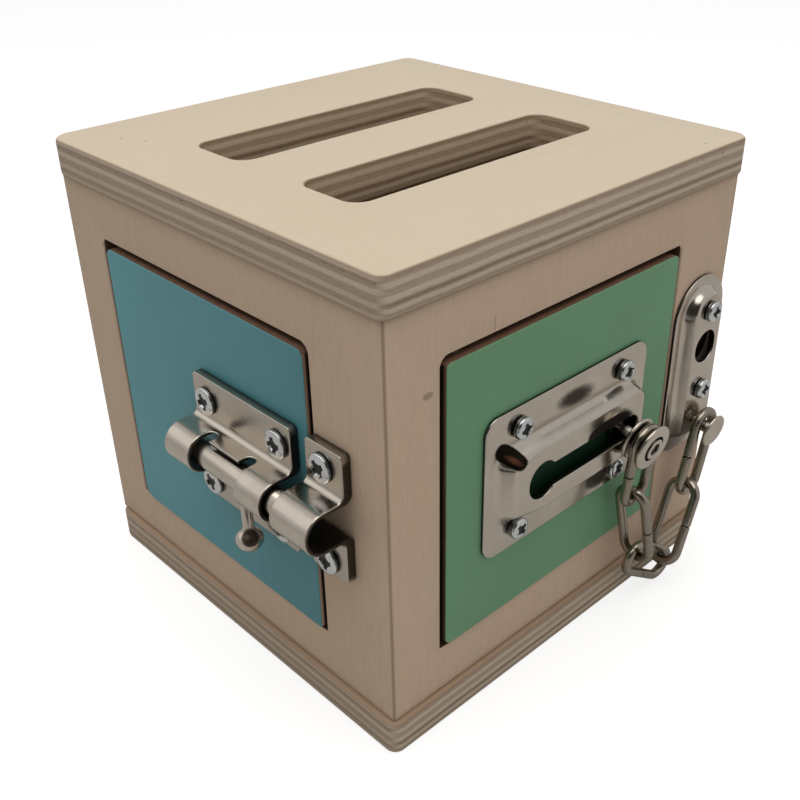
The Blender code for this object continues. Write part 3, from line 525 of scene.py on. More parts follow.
def sheet_piece(name, outline, holes, guides, front, back, matrix, ease, back_ease=0.0,
                sharp=35.0, face_shade=None, rim_shade=None, back_shade=0.0):
    """A closed sheet from a flat pattern. Front and back turn pattern points and a drop from
    the face into (along, up, out); both faces' rims are rounded by their ease. The face's and
    the rim's shade are functions of the pattern points."""
    rims = [outline] + holes
    share = (0.08, 0.3, 0.62, 1.0)
    extra = []
    for line in rims:
        sign = 1 if line is outline else -1
        flow = line if area(line) > 0 else line[::-1]
        for part in share:
            extra.append(offset(flow, sign * ease * part))
            if back_ease > ease:
                extra.append(offset(flow, sign * back_ease * part))
    spots, faces = flat_pattern(outline, holes, guides + extra)
    gap = np.full(len(spots), 1e9)
    for line in rims:
        gap = np.minimum(gap, distance(line, spots))
    near = front(spots, round_drop(gap, ease))
    far = back(spots, round_drop(gap, back_ease))
    count = len(spots)
    sides = [tuple(face) for face in faces]
    sides += [tuple(count + k for k in reversed(face)) for face in sides]
    ways = {}
    for a, b, c in faces:
        for first, last in ((a, b), (b, c), (c, a)):
            ways[(int(first), int(last))] = True
    for first, last in ways:
        if (last, first) not in ways:
            sides.append((last, first, first + count, last + count))
    points = [matrix @ Vector(point) for point in np.concatenate((near, far))]
    face = face_shade(spots) if face_shade else np.zeros(count)
    rim = np.where(gap < 2e-6, rim_shade(spots) if rim_shade else 0.0, 0.0)
    shade = np.concatenate((np.maximum(face, rim), np.maximum(back_shade, rim)))
    return mesh_piece(name, points, sides, sharp, shade)


def flat_face(height, way):
    """A flat face at a height, whose rounded rims drop one way (1 or -1)."""
    return lambda spots, drop: np.column_stack((spots, height + way * drop))


def area(line):
    ahead = np.roll(line, -1, 0)
    return float((line[:, 0] * ahead[:, 1] - line[:, 1] * ahead[:, 0]).sum()) / 2


def round_drop(gap, ease):
    """How far a face drops near its rim when the rim is rounded."""
    if not ease:
        return np.zeros(len(gap))
    inner = np.clip(ease - gap, 0, ease)
    return ease - np.sqrt(np.maximum(ease ** 2 - inner ** 2, 0))


def plain_mesh(obj):
    """The object's evaluated mesh, with its modifiers removed."""
    graph = bpy.context.evaluated_depsgraph_get()
    mesh = bpy.data.meshes.new_from_object(obj.evaluated_get(graph))
    obj.modifiers.clear()
    obj.data = mesh
    return obj


# Node helpers


class Tree:
    """Short ways to add and link shader nodes."""

    def __init__(self, tree):
        self.tree = tree

    def add(self, kind, inputs=None, **settings):
        node = self.tree.nodes.new(kind)
        for name, value in settings.items():
            setattr(node, name, value)
        self.fill(node, inputs or {})
        return node

    def feed(self, socket, value):
        if isinstance(value, bpy.types.NodeSocket):
            self.tree.links.new(value, socket)
        elif isinstance(value, tuple) and len(value) == 3 and socket.type == "RGBA":
            socket.default_value = (*value, 1)
        else:
            socket.default_value = value

    def maths(self, operation, first, second=0.0, third=0.0, clamp=False):
        node = self.add("ShaderNodeMath", {0: first, 1: second, 2: third},
                        operation=operation, use_clamp=clamp)
        return node.outputs[0]

    def times(self, first, second, clamp=False):
        return self.maths("MULTIPLY", first, second, clamp=clamp)

    def absolute(self, value):
        return self.maths("ABSOLUTE", value)

    def apart(self, place, spot, operation="DISTANCE"):
        node = self.add("ShaderNodeVectorMath", {0: place, 1: spot}, operation=operation)
        return node.outputs["Value" if operation == "DISTANCE" else 0]

    def fill(self, node, values):
        """Feeds several inputs of a node, and gives back the tree."""
        for name, value in values.items():
            self.feed(node.inputs[name], value)
        return self.tree

    def spread(self, value, low, high, to_low=0.0, to_high=1.0, smooth=False):
        node = self.add("ShaderNodeMapRange", {"Value": value, "From Min": low,
                                               "From Max": high, "To Min": to_low,
                                               "To Max": to_high},
                        interpolation_type="SMOOTHSTEP" if smooth else "LINEAR")
        return node.outputs[0]

    def mix(self, share, first, second, blend="MIX"):
        node = self.add("ShaderNodeMix", data_type="RGBA", blend_type=blend)
        self.feed(node.inputs[0], share)
        self.feed(node.inputs[6], first)
        self.feed(node.inputs[7], second)
        return node.outputs[2]

    def noise(self, place, scale, detail=3.0, rough=0.5, stretch=(1, 1, 1), shift=(0, 0, 0)):
        moved = self.add("ShaderNodeMapping", {"Vector": place, "Scale": stretch,
                                               "Location": shift})
        return self.add("ShaderNodeTexNoise", {"Vector": moved.outputs[0], "Scale": scale,
                                               "Detail": detail,
                                               "Roughness": rough}).outputs["Fac"]

    def place(self):
        return self.add("ShaderNodeTexCoord").outputs["Object"]

    def parts(self, vector):
        return self.add("ShaderNodeSeparateXYZ", {0: vector}).outputs

    def normal_parts(self):
        normal = self.add("ShaderNodeNewGeometry").outputs["Normal"]
        turned = self.add("ShaderNodeVectorTransform", {0: normal}, vector_type="NORMAL",
                          convert_from="WORLD", convert_to="OBJECT")
        return self.parts(turned.outputs[0])

    def group(self, tree, inputs):
        node = self.add("ShaderNodeGroup")
        node.node_tree = tree
        self.fill(node, inputs)
        return node.outputs


def once(name):
    """Makes a node group at its first use, and hands out the same one after that."""
    def wrap(build):
        return lambda: bpy.data.node_groups.get(name) or build(name)
    return wrap


def new_group(name, inputs, outputs, kind="ShaderNodeTree"):
    """A new node group; its inputs and outputs are given by name and kind of socket."""
    tree = bpy.data.node_groups.new(name, kind)
    for way, sockets in (("INPUT", inputs), ("OUTPUT", outputs)):
        for label, socket in sockets.items():
            tree.interface.new_socket(name=label, in_out=way, socket_type="NodeSocket" + socket)
    start = tree.nodes.new("NodeGroupInput")
    end = tree.nodes.new("NodeGroupOutput")
    return Tree(tree), start.outputs, end


@once("veneer_grain")
def grain_group(name):
    """Veneer grain: long soft streaks, short pores and broad clouds."""
    t, given, end = new_group(
        name, {"Vector": "Vector", "Streak Scale": "Vector"},
        {"Streaks": "Float", "Pores": "Float", "Clouds": "Float", "Height": "Float"})
    long_way = t.add("ShaderNodeMapping", {"Vector": given["Vector"],
                                           "Scale": given["Streak Scale"]}).outputs[0]
    streaks = t.add("ShaderNodeTexNoise", {"Vector": long_way, "Scale": 1.0, "Detail": 5.0,
                                           "Roughness": 0.6, "Distortion": 0.15}).outputs["Fac"]
    short = t.add("ShaderNodeMapping", {"Vector": long_way, "Scale": (2.6, 2.6, 2.6)})
    pores = t.add("ShaderNodeTexNoise", {"Vector": short.outputs[0], "Scale": 1.0,
                                         "Detail": 2.0, "Roughness": 0.7}).outputs["Fac"]
    pore_mask = t.spread(pores, 0.60, 0.72)
    clouds = t.noise(given["Vector"], 26.0, 3.0, 0.55)
    height = t.maths("MULTIPLY_ADD", pore_mask, -0.6, streaks)
    return t.fill(end, {"Streaks": streaks, "Pores": pore_mask, "Clouds": clouds,
                        "Height": height})


WHITE = (1.0, 1.0, 1.0)
# Painted shade deep in the gap round a door.
GAP_SHADE = (0.018, 0.010, 0.007)
# Painted shade on the wall where a plate's hole shows it.
HOLE_SHADE = (0.016, 0.009, 0.006)
# Levels of the plies over the thickness, from 0 (dark) to 1 (light), on the sides that face X
# and on those that face Y.
PLIES = {
    "X": ((0.0, 0.72), (0.15, 0.70), (0.17, 0.32), (0.28, 0.30), (0.295, 0.74), (0.40, 0.72),
          (0.42, 0.34), (0.565, 0.36), (0.585, 0.60), (0.61, 0.84), (0.70, 0.82), (0.72, 0.32),
          (0.80, 0.28), (0.815, 0.16), (0.87, 0.20), (0.885, 0.80), (0.96, 0.76), (1.0, 0.40)),
    "Y": ((0.0, 0.60), (0.02, 0.46), (0.135, 0.44), (0.15, 0.36), (0.17, 0.38), (0.185, 0.94),
          (0.27, 0.96), (0.29, 0.34), (0.315, 0.26), (0.33, 0.02), (0.38, 0.04), (0.39, 0.48),
          (0.415, 0.52), (0.43, 0.96), (0.53, 0.98), (0.545, 0.50), (0.63, 0.46), (0.64, 0.40),
          (0.70, 0.44), (0.72, 0.94), (0.825, 0.92), (0.84, 0.52), (0.87, 0.46), (0.885, 0.32),
          (1.0, 0.30))}


@once("ply_edge")
def plies_group(name):
    """Colours of a plywood edge from the height over its thickness; a ply that shows its end
    grain on one side shows its long grain on the next."""
    t, given, end = new_group(
        name, {"Vector": "Vector", "Share": "Float", "Side": "Float", "Light": "Color",
               "Dark": "Color"},
        {"Color": "Color", "Height": "Float"})
    wobble = t.noise(given["Vector"], 60.0)
    place = t.maths("ADD", given["Share"], t.times(t.maths("SUBTRACT", wobble, 0.5), 0.05))
    bands = {}
    for way, stops in PLIES.items():
        node = t.add("ShaderNodeValToRGB", {"Fac": place})
        line = node.color_ramp
        while len(line.elements) < len(stops):
            line.elements.new(0.5)
        for element, (position, level) in zip(line.elements, stops):
            element.position = position
            element.color = (level, level, level, 1)
        bands[way] = t.add("ShaderNodeSeparateColor", {0: node.outputs[0]}).outputs[0]
    both = t.add("ShaderNodeMix", {0: given["Side"], 2: bands["Y"], 3: bands["X"]}).outputs[0]
    fibre = t.noise(given["Vector"], 1.0, 4.0, 0.65, (420.0, 420.0, 2600.0))
    pores = t.noise(given["Vector"], 1.0, 2.0, 0.6, (1900.0, 1900.0, 2300.0))
    level = t.maths("ADD", both, t.times(t.maths("SUBTRACT", fibre, 0.5), 0.50))
    level = t.maths("ADD", level, t.times(t.maths("SUBTRACT", pores, 0.5), 0.25), clamp=True)
    voids = t.noise(given["Vector"], 1.0, 2.0, 0.6, (330.0, 330.0, 1500.0), (3, 1, 7))
    in_band = t.times(t.maths("GREATER_THAN", place, 0.79), t.maths("LESS_THAN", place, 0.83))
    crack = t.times(in_band, t.spread(voids, 0.64, 0.70))
    shade = t.mix(level, given["Dark"], given["Light"])
    return t.fill(end, {"Color": t.mix(crack, shade, (0.03, 0.02, 0.014)),
                        "Height": t.maths("SUBTRACT", level, crack)})


@once("metal_smudge")
def smudge_group(name):
    """Faint smears and dust on metal: a mask and a height."""
    t, given, end = new_group(name, {"Vector": "Vector"},
                              {"Smears": "Float", "Specks": "Float", "Waves": "Float"})
    smears = t.noise(given["Vector"], 95.0, 4.0, 0.6)
    specks = t.spread(t.noise(given["Vector"], 900.0, 2.0), 0.68, 0.76)
    waves = t.noise(given["Vector"], 42.0, 2.0)
    return t.fill(end, {"Smears": smears, "Specks": specks, "Waves": waves})


# Materials


def material(name):
    """A new material, short ways to its nodes, and its surface shader."""
    made = bpy.data.materials.new(name)
    made.use_nodes = True
    return made, Tree(made.node_tree), made.node_tree.nodes["Principled BSDF"]


def tinted(base, level):
    """A colour times a number, or times a number for each part."""
    return tuple(v * k for v, k in zip(base, np.broadcast_to(level, 3).tolist()))


def bump(t, height, strength, reach):
    return t.add("ShaderNodeBump", {"Height": height, "Strength": strength,
                                    "Distance": reach}).outputs[0]


def plate_wood(name, finish, veneer, low, thick, spots=(), slots=(0.0, 0.0)):
    """Plywood plate: pale veneer on its faces and plies round its edges, browner where the
    slots are cut."""
    made, t, shader = material(name)
    place = t.place()
    grain = t.group(grain_group(), {"Vector": place, "Streak Scale": (26.0, 520.0, 60.0)})
    face = t.mix(t.spread(grain["Streaks"], 0.30, 0.72), tinted(veneer, 0.95),
                 tinted(veneer, 1.01))
    face = t.mix(t.times(grain["Pores"], 0.22), face, tinted(veneer, 0.66))
    warm = tinted(veneer, (0.98, 0.945, 0.90))
    face = t.mix(t.spread(grain["Clouds"], 0.35, 0.7), face, t.mix(0.6, face, warm))
    for spot in spots:
        mark = t.spread(t.apart(place, spot), 0.0002, 0.0006, 0.65, 0.0)
        face = t.mix(mark, face, (0.14, 0.09, 0.05))
    parts = t.parts(place)
    height = t.maths("DIVIDE", t.maths("SUBTRACT", parts["Z"], low), thick)
    normal = t.normal_parts()
    side_way = t.maths("SUBTRACT", t.absolute(normal["X"]), t.absolute(normal["Y"]))
    side_way = t.spread(side_way, -0.55, 0.55)
    edge = t.group(plies_group(), {"Vector": place, "Share": height, "Side": side_way,
                                   "Light": tuple(finish.ply_light),
                                   "Dark": tuple(finish.ply_dark)})
    upright = t.absolute(normal["Z"])
    flat = t.spread(upright, 0.55, 0.93, smooth=True)
    lip = t.times(t.spread(upright, 0.04, 0.5), t.spread(upright, 0.8, 0.99, 1, 0))
    side = t.mix(t.times(lip, 0.60), edge["Color"],
                 tinted(finish.ply_dark, (1.0, 0.88, 0.80)))
    cut = t.times(t.maths("LESS_THAN", t.absolute(parts["X"]), slots[0]),
                  t.maths("LESS_THAN", t.absolute(parts["Y"]), slots[1]))
    side = t.mix(cut, side, t.mix(1.0, side, (1.04, 0.97, 0.86), "MULTIPLY"))
    fringe = t.times(cut, t.spread(height, 0.86, 0.93, 0.0, 0.45))
    side = t.mix(fringe, side, (0.13, 0.08, 0.045))
    relief = t.add("ShaderNodeMix", {0: flat, 2: edge["Height"], 3: grain["Height"]})
    t.fill(shader, {
        "Base Color": t.mix(flat, side, face),
        "Roughness": t.spread(grain["Streaks"], 0.3, 0.7, 0.50, 0.62),
        "Specular IOR Level": 0.32,
        "Normal": bump(t, relief.outputs[0], 0.22, 0.0002)})
    return made


def wall_wood(name, finish, out_axis, face, opening, knots=(), cracks=(), hole_shades=(),
              tone=1.0):
    """Plywood wall: pinkish veneer with upright grain, scorched where the opening is cut, with
    painted shadows beside the opening's far edge and along the wall's top and bottom, painted
    shade on its inner face, and painted shade where a plate's hole shows it."""
    made, t, shader = material(name)
    place = t.place()
    parts = t.parts(place)
    grain = t.group(grain_group(), {"Vector": place, "Streak Scale": (950.0, 950.0, 105.0)})
    base = tinted(finish.wall, tone)
    wood = t.mix(t.spread(grain["Streaks"], 0.32, 0.70), tinted(base, 0.925),
                 tinted(base, 1.02))
    wood = t.mix(t.times(grain["Pores"], 0.40), wood, tinted(base, (0.66, 0.58, 0.52)))
    pale = tinted(base, (1.04, 1.09, 1.14))
    wood = t.mix(t.spread(grain["Clouds"], 0.30, 0.75), wood, t.mix(0.26, wood, pale))
    for spot, width, height in knots:
        away = t.parts(t.add("ShaderNodeMapping", {
            "Vector": t.apart(place, spot, "SUBTRACT"),
            "Scale": (1 / width, 1 / width, 1 / height)}).outputs[0])
        along = t.maths("ADD", t.maths("POWER", t.maths("ADD", away["X"], away["Y"]), 2.0),
                        t.maths("POWER", away["Z"], 2.0))
        wood = t.mix(t.spread(along, 0.3, 1.0, 0.55, 0.0, smooth=True), wood,
                     (0.20, 0.115, 0.055))
    for spot, width, height in cracks:
        apart = t.parts(t.apart(place, spot, "SUBTRACT"))
        slim = t.spread(t.absolute(apart["X"]), width * 0.3, width, 1, 0)
        tall = t.spread(t.absolute(apart["Z"]), height * 0.6, height, 1, 0)
        wood = t.mix(t.times(t.times(slim, tall), 0.6), wood, (0.06, 0.035, 0.02))
    out = parts[out_axis]
    across = parts["X" if out_axis == "Y" else "Y"]
    seam = t.spread(t.absolute(across), face - 0.0009, face - 0.0001, 0.0, 0.62)
    wood = t.mix(seam, wood, (0.10, 0.06, 0.04))
    away = t.absolute(t.maths("SUBTRACT", across, opening["far"]))
    shadow_far = t.times(t.spread(away, 0.0, 0.0018, 0.62, 0.0, smooth=True),
                         t.maths("COMPARE", parts["Z"], opening["middle"], opening["half"]))
    within = t.maths("LESS_THAN", t.absolute(across), opening["reach"])
    wood = t.mix(t.times(shadow_far, within), wood, (0.10, 0.06, 0.035))
    # Painted shade where the anchor plate's hole shows the wall.
    for along, rise, radius in hole_shades:
        flat = t.add("ShaderNodeCombineXYZ", {0: across, 1: parts["Z"]}).outputs[0]
        wood = t.mix(t.maths("LESS_THAN", t.apart(flat, (along, rise, 0)), radius), wood,
                     HOLE_SHADE)
    shadow_low = t.spread(parts["Z"], opening["low"], opening["low"] + 0.0022, 0.30, 0.0)
    shadow_high = t.spread(parts["Z"], opening["high"] - 0.0016, opening["high"], 0.0, 0.35)
    wood = t.mix(t.maths("ADD", shadow_low, shadow_high), wood, (0.16, 0.10, 0.06))
    depth = t.spread(out, -face, -face + 0.0004)
    facing = t.absolute(t.normal_parts()[out_axis])
    cut = t.spread(facing, 0.25, 0.85, 1.0, 0.0)
    scorched = t.mix(t.noise(place, 1.0, 3.0, 0.6, (700.0, 700.0, 700.0)),
                     tinted(finish.burnt, 0.6), tinted(finish.burnt, 1.5))
    scorch_and_shade = t.times(t.times(cut, within), t.maths("ADD", depth, 0.6), clamp=True)
    # Painted shade: within the opening's reach the inner face takes part of the scorched
    # colour.
    inside = t.times(t.spread(out, -face + 0.002, -face + 0.004), within)
    scorch_and_shade = t.maths("MAXIMUM", scorch_and_shade, t.times(inside, 0.3))
    t.fill(shader, {
        "Base Color": t.mix(scorch_and_shade, wood, scorched),
        "Roughness": t.spread(grain["Streaks"], 0.3, 0.7, 0.55, 0.68),
        "Specular IOR Level": 0.25,
        "Normal": bump(t, grain["Height"], 0.16, 0.0002)})
    return made


def door_paint(name, finish, paint, out_axis, front, shade_cover, fade, brink):
    """Satin paint on the face of a door and bare scorched wood on its edges, which get painted
    shade deeper in the gap; under shade_cover, given as middle and half size, the paint gets
    painted shade. The fade is a painted sheen: it says how the paint's tone changes across.
    The brink is the colour of the upright edges."""
    made, t, shader = material(name)
    place = t.place()
    parts = t.parts(place)
    grain = t.group(grain_group(), {"Vector": place, "Streak Scale": (700.0, 700.0, 36.0)})
    base = tuple(paint)
    rich = t.mix(t.spread(grain["Clouds"], 0.3, 0.7), tinted(base, 0.955),
                 tinted(base, 1.035))
    rich = t.mix(t.times(grain["Pores"], 0.10), rich, tinted(base, 0.8))
    edge = t.mix(t.noise(place, 1.0, 4.0, 0.6, (500.0, 500.0, 500.0)),
                 tinted(finish.door_edge, 0.7), tinted(finish.door_edge, 1.25))
    depth = t.times(t.maths("SUBTRACT", parts[out_axis], front), 1000.0)
    ragged = t.maths("MULTIPLY_ADD", t.noise(place, 450.0, 2.0), 0.16, depth)
    bare = t.spread(ragged, 0.34, 0.50)
    across_axis = "X" if out_axis == "Y" else "Y"
    across = parts[across_axis]
    upright = t.spread(t.absolute(t.normal_parts()[across_axis]), 0.75, 0.95)
    brink = t.mix(t.spread(parts["Z"], 0.070, 0.115, 0.0, 0.65), brink, (0.16, 0.09, 0.06))
    # Painted shade: the bare edges darken with depth into the gap.
    edge = t.mix(upright, t.mix(t.spread(depth, 2.4, 4.4), edge, GAP_SHADE),
                 t.mix(t.spread(depth, 0.9, 1.5), brink, GAP_SHADE))
    wood = t.mix(t.spread(grain["Streaks"], 0.32, 0.70), tinted(finish.wall, 0.9),
                 tuple(finish.wall))
    facing = t.spread(t.absolute(t.normal_parts()[out_axis]), 0.75, 0.95)
    inner = t.times(facing, t.spread(depth, 4.0, 5.0))
    edge = t.mix(inner, edge, wood)
    # Painted shade on the paint under the keyhole plate's raised track.
    if shade_cover:
        along, rise, half_wide, half_high = shade_cover
        inside = t.times(t.maths("COMPARE", across, along, half_wide),
                         t.maths("COMPARE", parts["Z"], rise, half_high))
        rich = t.mix(inside, rich, tinted(base, (0.10, 0.16, 0.14)))
    # Painted sheen: the paint's tone ramps across the door, lighter on one side.
    tone = t.spread(across, *fade)
    tone = t.add("ShaderNodeCombineXYZ", {0: tone, 1: tone, 2: tone}).outputs[0]
    rich = t.mix(1.0, rich, tone, "MULTIPLY")
    smooth = t.spread(grain["Streaks"], 0.3, 0.7, 0.40, 0.50)
    peel = t.maths("MULTIPLY_ADD", t.noise(place, 650.0, 2.0), 0.5, grain["Height"])
    t.fill(shader, {
        "Base Color": t.mix(bare, rich, edge),
        "Roughness": t.add("ShaderNodeMix", {0: bare, 2: smooth, 3: 0.75}).outputs[0],
        "Specular IOR Level": 0.35,
        "Normal": bump(t, peel, 0.09, 0.00015)})
    return made


def painted_reflection_mask(t, place, spot, half, tilt=0.0, soft=0.25, power=2.0):
    """Mask of a painted reflection: 1 inside an oval tilted about Y, 0 outside it, with a soft
    grainy rim. A spot of two numbers is on the front."""
    if len(spot) == 2:
        spot, half = (spot[0], 0, spot[1]), (half[0], 10, half[1])
    inside = t.add("ShaderNodeMapping", {"Vector": place, "Location": spot, "Scale": half,
                                         "Rotation": (0, math.radians(tilt), 0)},
                   vector_type="TEXTURE").outputs[0]
    parts = t.parts(inside)
    away = 0.0
    for way in ("X", "Y", "Z"):
        away = t.maths("ADD", away, t.maths("POWER", t.absolute(parts[way]), power))
    grain = t.times(t.noise(place, 1600.0, 3.0, 0.7), soft * 1.6)
    return t.spread(t.maths("ADD", away, grain), 1 - soft * 0.2, 1 + soft * 1.8, 1.0, 0.0,
                    smooth=True)


def nickel(name, colour_of, smooth=0.20, rough=0.34, wave=0.10, painted_reflections=()):
    """Plated steel with faint smears, specks and a slightly wavy surface. The shade attribute
    paints shade, darker and duller; below zero it paints a highlight, brighter and duller.
    Painted reflections are dark ovals at fixed places."""
    made, t, shader = material(name)
    place = t.place()
    marks = t.group(smudge_group(), {"Vector": place})
    base = tuple(colour_of)
    tone = t.mix(t.spread(marks["Smears"], 0.35, 0.7), base, tinted(base, (0.90, 0.885, 0.86)))
    tone = t.mix(t.times(marks["Specks"], 0.5), tone, tinted(base, 0.5))
    dull = 0.0
    # Each painted reflection darkens the tone and dulls the metal in its oval.
    for dark, strength, *oval in painted_reflections:
        level = t.times(painted_reflection_mask(t, place, *oval), strength)
        tone = t.mix(level, tone, dark)
        dull = t.maths("MAXIMUM", dull, level)
    # The pieces' shade attribute: painted shade above zero, a painted highlight below it.
    shade = t.add("ShaderNodeAttribute", attribute_name="shade").outputs["Fac"]
    pale = t.times(shade, -1.0, clamp=True)
    tone = t.mix(pale, tone, (0.95, 0.90, 0.83))
    polish = t.spread(marks["Smears"], 0.3, 0.72, smooth, rough)
    polish = t.maths("MULTIPLY_ADD", t.absolute(shade), 0.25, polish)
    t.fill(shader, {
        "Metallic": 1.0,
        "Base Color": t.mix(shade, tone, (0.012, 0.009, 0.007)),
        "Roughness": t.maths("MULTIPLY_ADD", dull, 0.30, polish),
        "Normal": bump(t, marks["Waves"], wave, 0.0012)})
    return made


# Geometry nodes


def shape_group(name, inputs):
    """A new geometry tree: its inputs besides the geometry and the material are given."""
    return new_group(name, {"Geometry": "Geometry", **inputs, "Material": "Material"},
                     {"Geometry": "Geometry"}, "GeometryNodeTree")


def closed(t, given, end, last):
    """Realizes what the last node makes, gives it the material and ends the tree."""
    real = t.add("GeometryNodeRealizeInstances", {"Geometry": last.outputs[0]})
    done = t.add("GeometryNodeSetMaterial", {"Geometry": real.outputs[0],
                                             "Material": given["Material"]})
    return t.fill(end, {"Geometry": done.outputs[0]})


@once("set_screws")
def scatter_tree(name):
    """Puts a copy of one screw on each point, turned about an axis by the point's turn."""
    t, given, end = shape_group(name, {"Screw": "Object", "Axis": "Vector"})
    shape = t.add("GeometryNodeObjectInfo", {"Object": given["Screw"]})
    turned = t.add("GeometryNodeInputNamedAttribute", {"Name": "turn"}, data_type="FLOAT")
    spin = t.add("FunctionNodeAxisAngleToRotation",
                 {"Axis": given["Axis"], "Angle": turned.outputs["Attribute"]})
    copies = t.add("GeometryNodeInstanceOnPoints",
                   {"Points": given["Geometry"], "Instance": shape.outputs["Geometry"],
                    "Rotation": spin.outputs["Rotation"]})
    return closed(t, given, end, copies)


@once("bend_wire")
def wire_tree(name):
    """Runs round wire along a path, a little thinner where the point's pinch says so."""
    t, given, end = shape_group(name, {"Radius": "Float", "Sides": "Int"})
    path = t.add("GeometryNodeMeshToCurve", {"Mesh": given["Geometry"]})
    pinch = t.add("GeometryNodeInputNamedAttribute", {"Name": "pinch"}, data_type="FLOAT")
    wire = t.add("GeometryNodeCurvePrimitiveCircle",
                 {"Resolution": given["Sides"], "Radius": given["Radius"]})
    swept = t.add("GeometryNodeCurveToMesh",
                  {"Curve": path.outputs["Curve"], "Profile Curve": wire.outputs["Curve"],
                   "Scale": pinch.outputs["Attribute"], "Fill Caps": True})
    return closed(t, given, end, swept)


def run_tree(obj, tree, values):
    """Runs a tree on an object with inputs given by name, and keeps the plain mesh."""
    step = obj.modifiers.new("shape", "NODES")
    step.node_group = tree
    for item in tree.interface.items_tree:
        if item.item_type == "SOCKET" and item.in_out == "INPUT" and item.name in values:
            step[item.identifier] = values[item.name]
    return plain_mesh(obj)


# Box


def plate_piece(name, box, low, slots):
    """A plate with rounded edges and slots cut through it."""
    outline = resample(rounded(box.side, box.side, box.plate_corners, steps=12),
                       WOOD_STEP)
    holes = []
    for side in (-1, 1) if slots else ():
        holes.append(resample(rounded(box.slot_length, box.slot_width, box.slot_corner,
                                      (0.0, side * box.slot_pitch / 2), steps=12), WOOD_STEP))
    return sheet_piece(name, outline, holes, [], flat_face(low + box.plate, -1),
                       flat_face(low, 1), Matrix.Identity(4), box.ease, 0.001)


def wall_piece(name, box, p, matrix, corner, trim=0.0, shift=0.0):
    """A wall with an opening and mitred ends, its edges just broken."""
    reach = p.face - SEAT / 2
    middle = (p.low + p.high) / 2
    outline = resample(rounded(2 * reach, p.high - p.low, LEAST_CORNER, (0.0, middle), steps=2),
                       WOOD_STEP)
    opening = resample(rounded(p.open_wide - trim, p.open_high, corner,
                               (p.open_at + trim / 2 + shift, p.rise), steps=12), WOOD_STEP)
    start = reach - MITRE

    def back(spots, drop):
        along = spots[:, 0]
        pull = np.clip((np.abs(along) - start) / (reach - start), 0, 1) * box.wall
        return np.column_stack((along - np.sign(along) * pull, spots[:, 1],
                                drop - box.wall))

    sides = [np.array([(x, p.low - 0.001), (x, p.high + 0.001)]) for x in (-start, start)]
    return sheet_piece(name, outline, [opening], [resample(s, 0.01, False) for s in sides],
                       flat_face(0, -1), back, matrix, CUT_EDGE)


def door_piece(name, door, p, matrix, corner, trim=0.0, shift=0.0):
    """A door panel with a softly rounded painted edge, hanging a little low."""
    wide, high = p.open_wide - 2 * door.gap - trim, p.open_high - 2 * door.gap
    middle = (p.open_at + trim / 2 + shift, p.rise - door.sag)
    outline = resample(rounded(wide, high, corner, middle, steps=12), WOOD_STEP)
    return sheet_piece(name, outline, [], [], flat_face(door.proud, -1),
                       flat_face(door.proud - door.thick, 1), matrix, door.ease, 0.0008)


# Bolt


def strap_lines(p, bolt, flange, base, gap, low, high):
    """Front and back line of a strap's section as (up, out), point for point."""
    inner = bolt.radius + gap
    back_bend = 0.0024

    def half(side, edge, wide, foot, bend):
        """Flange, bend and upright on one side of the rod, from the edge inwards."""
        root, rise, wall = p.axis + side * (wide + bend), foot + bend, p.axis + side * wide
        turns = np.radians(np.linspace(-90, -180, 9)[1:])
        curve = np.stack((root + side * bend * np.cos(turns), rise + bend * np.sin(turns)), 1)
        return np.concatenate((np.linspace((edge, foot), (root, foot), 7), curve,
                               np.linspace((wall, rise), (wall, bolt.axis_out), 5)[1:]))

    return [np.concatenate((half(1, high, *sizes),
                            arc((p.axis, bolt.axis_out), sizes[0], 0, 180, 36)[1:-1],
                            half(-1, low, *sizes)[::-1]))
            for sizes in ((inner + bolt.sheet, base + flange, bolt.bend),
                          (inner, base, back_bend))]


def strap_map(near, far):
    """Pattern coordinate along the front line, and maps from it to both faces."""
    steps = np.hypot(*(near[1:] - near[:-1]).T)
    way = np.concatenate(([0], np.cumsum(steps)))
    ahead = np.gradient(near, way, axis=0)
    ahead /= np.linalg.norm(ahead, axis=1)[:, None]
    normal = np.stack((ahead[:, 1], -ahead[:, 0]), 1)

    def at(line, s):
        return np.stack([np.interp(s, way, line[:, k]) for k in (0, 1)], 1)

    def front(spots, drop):
        place = at(near, spots[:, 1]) - at(normal, spots[:, 1]) * drop[:, None]
        return np.column_stack((spots[:, 0], place))

    def back(spots, drop):
        place = at(far, spots[:, 1]) + at(normal, spots[:, 1]) * drop[:, None]
        return np.column_stack((spots[:, 0], place))

    return way, front, back


def strap_piece(name, start, end, near, far, windows, matrix, corner):
    """A bent strap: its flat pattern has rounded corners and windows."""
    way, front, back = strap_map(near, far)
    long_way = way[-1]
    outline = resample(rounded(end - start, long_way, corner,
                               ((start + end) / 2, long_way / 2), steps=10), 0.0015)
    guides = [resample(np.array([(start - 0.001, s), (end + 0.001, s)]), 0.002, False)
              for s in way[1:-1]]
    holes = [resample(window(way), 0.0012) for window in windows]

    # Painted shade: the strap's cut ends dark and its window rims darker.
    def rim_shade(spots):
        ends = np.minimum(np.abs(spots[:, 0] - start), np.abs(spots[:, 0] - end)) < 0.0002
        inner = (spots[:, 0] > start + 0.002) & (spots[:, 0] < end - 0.002)
        tall = (spots[:, 1] > 0.002) & (spots[:, 1] < long_way - 0.002)
        return np.where(ends & tall, 0.88, np.where(inner & tall, 0.6, 0.1))

    # Painted shade: the flat flanges a little darker and the strap's back dark.
    flat = 0.16 * (near[:, 1] < near[:, 1].min() + 0.0004)
    return sheet_piece(name, outline, holes, guides, front, back, matrix, CUT_EDGE, 0.0002,
                       face_shade=lambda spots: np.interp(spots[:, 1], way, flat),
                       rim_shade=rim_shade, back_shade=0.92)


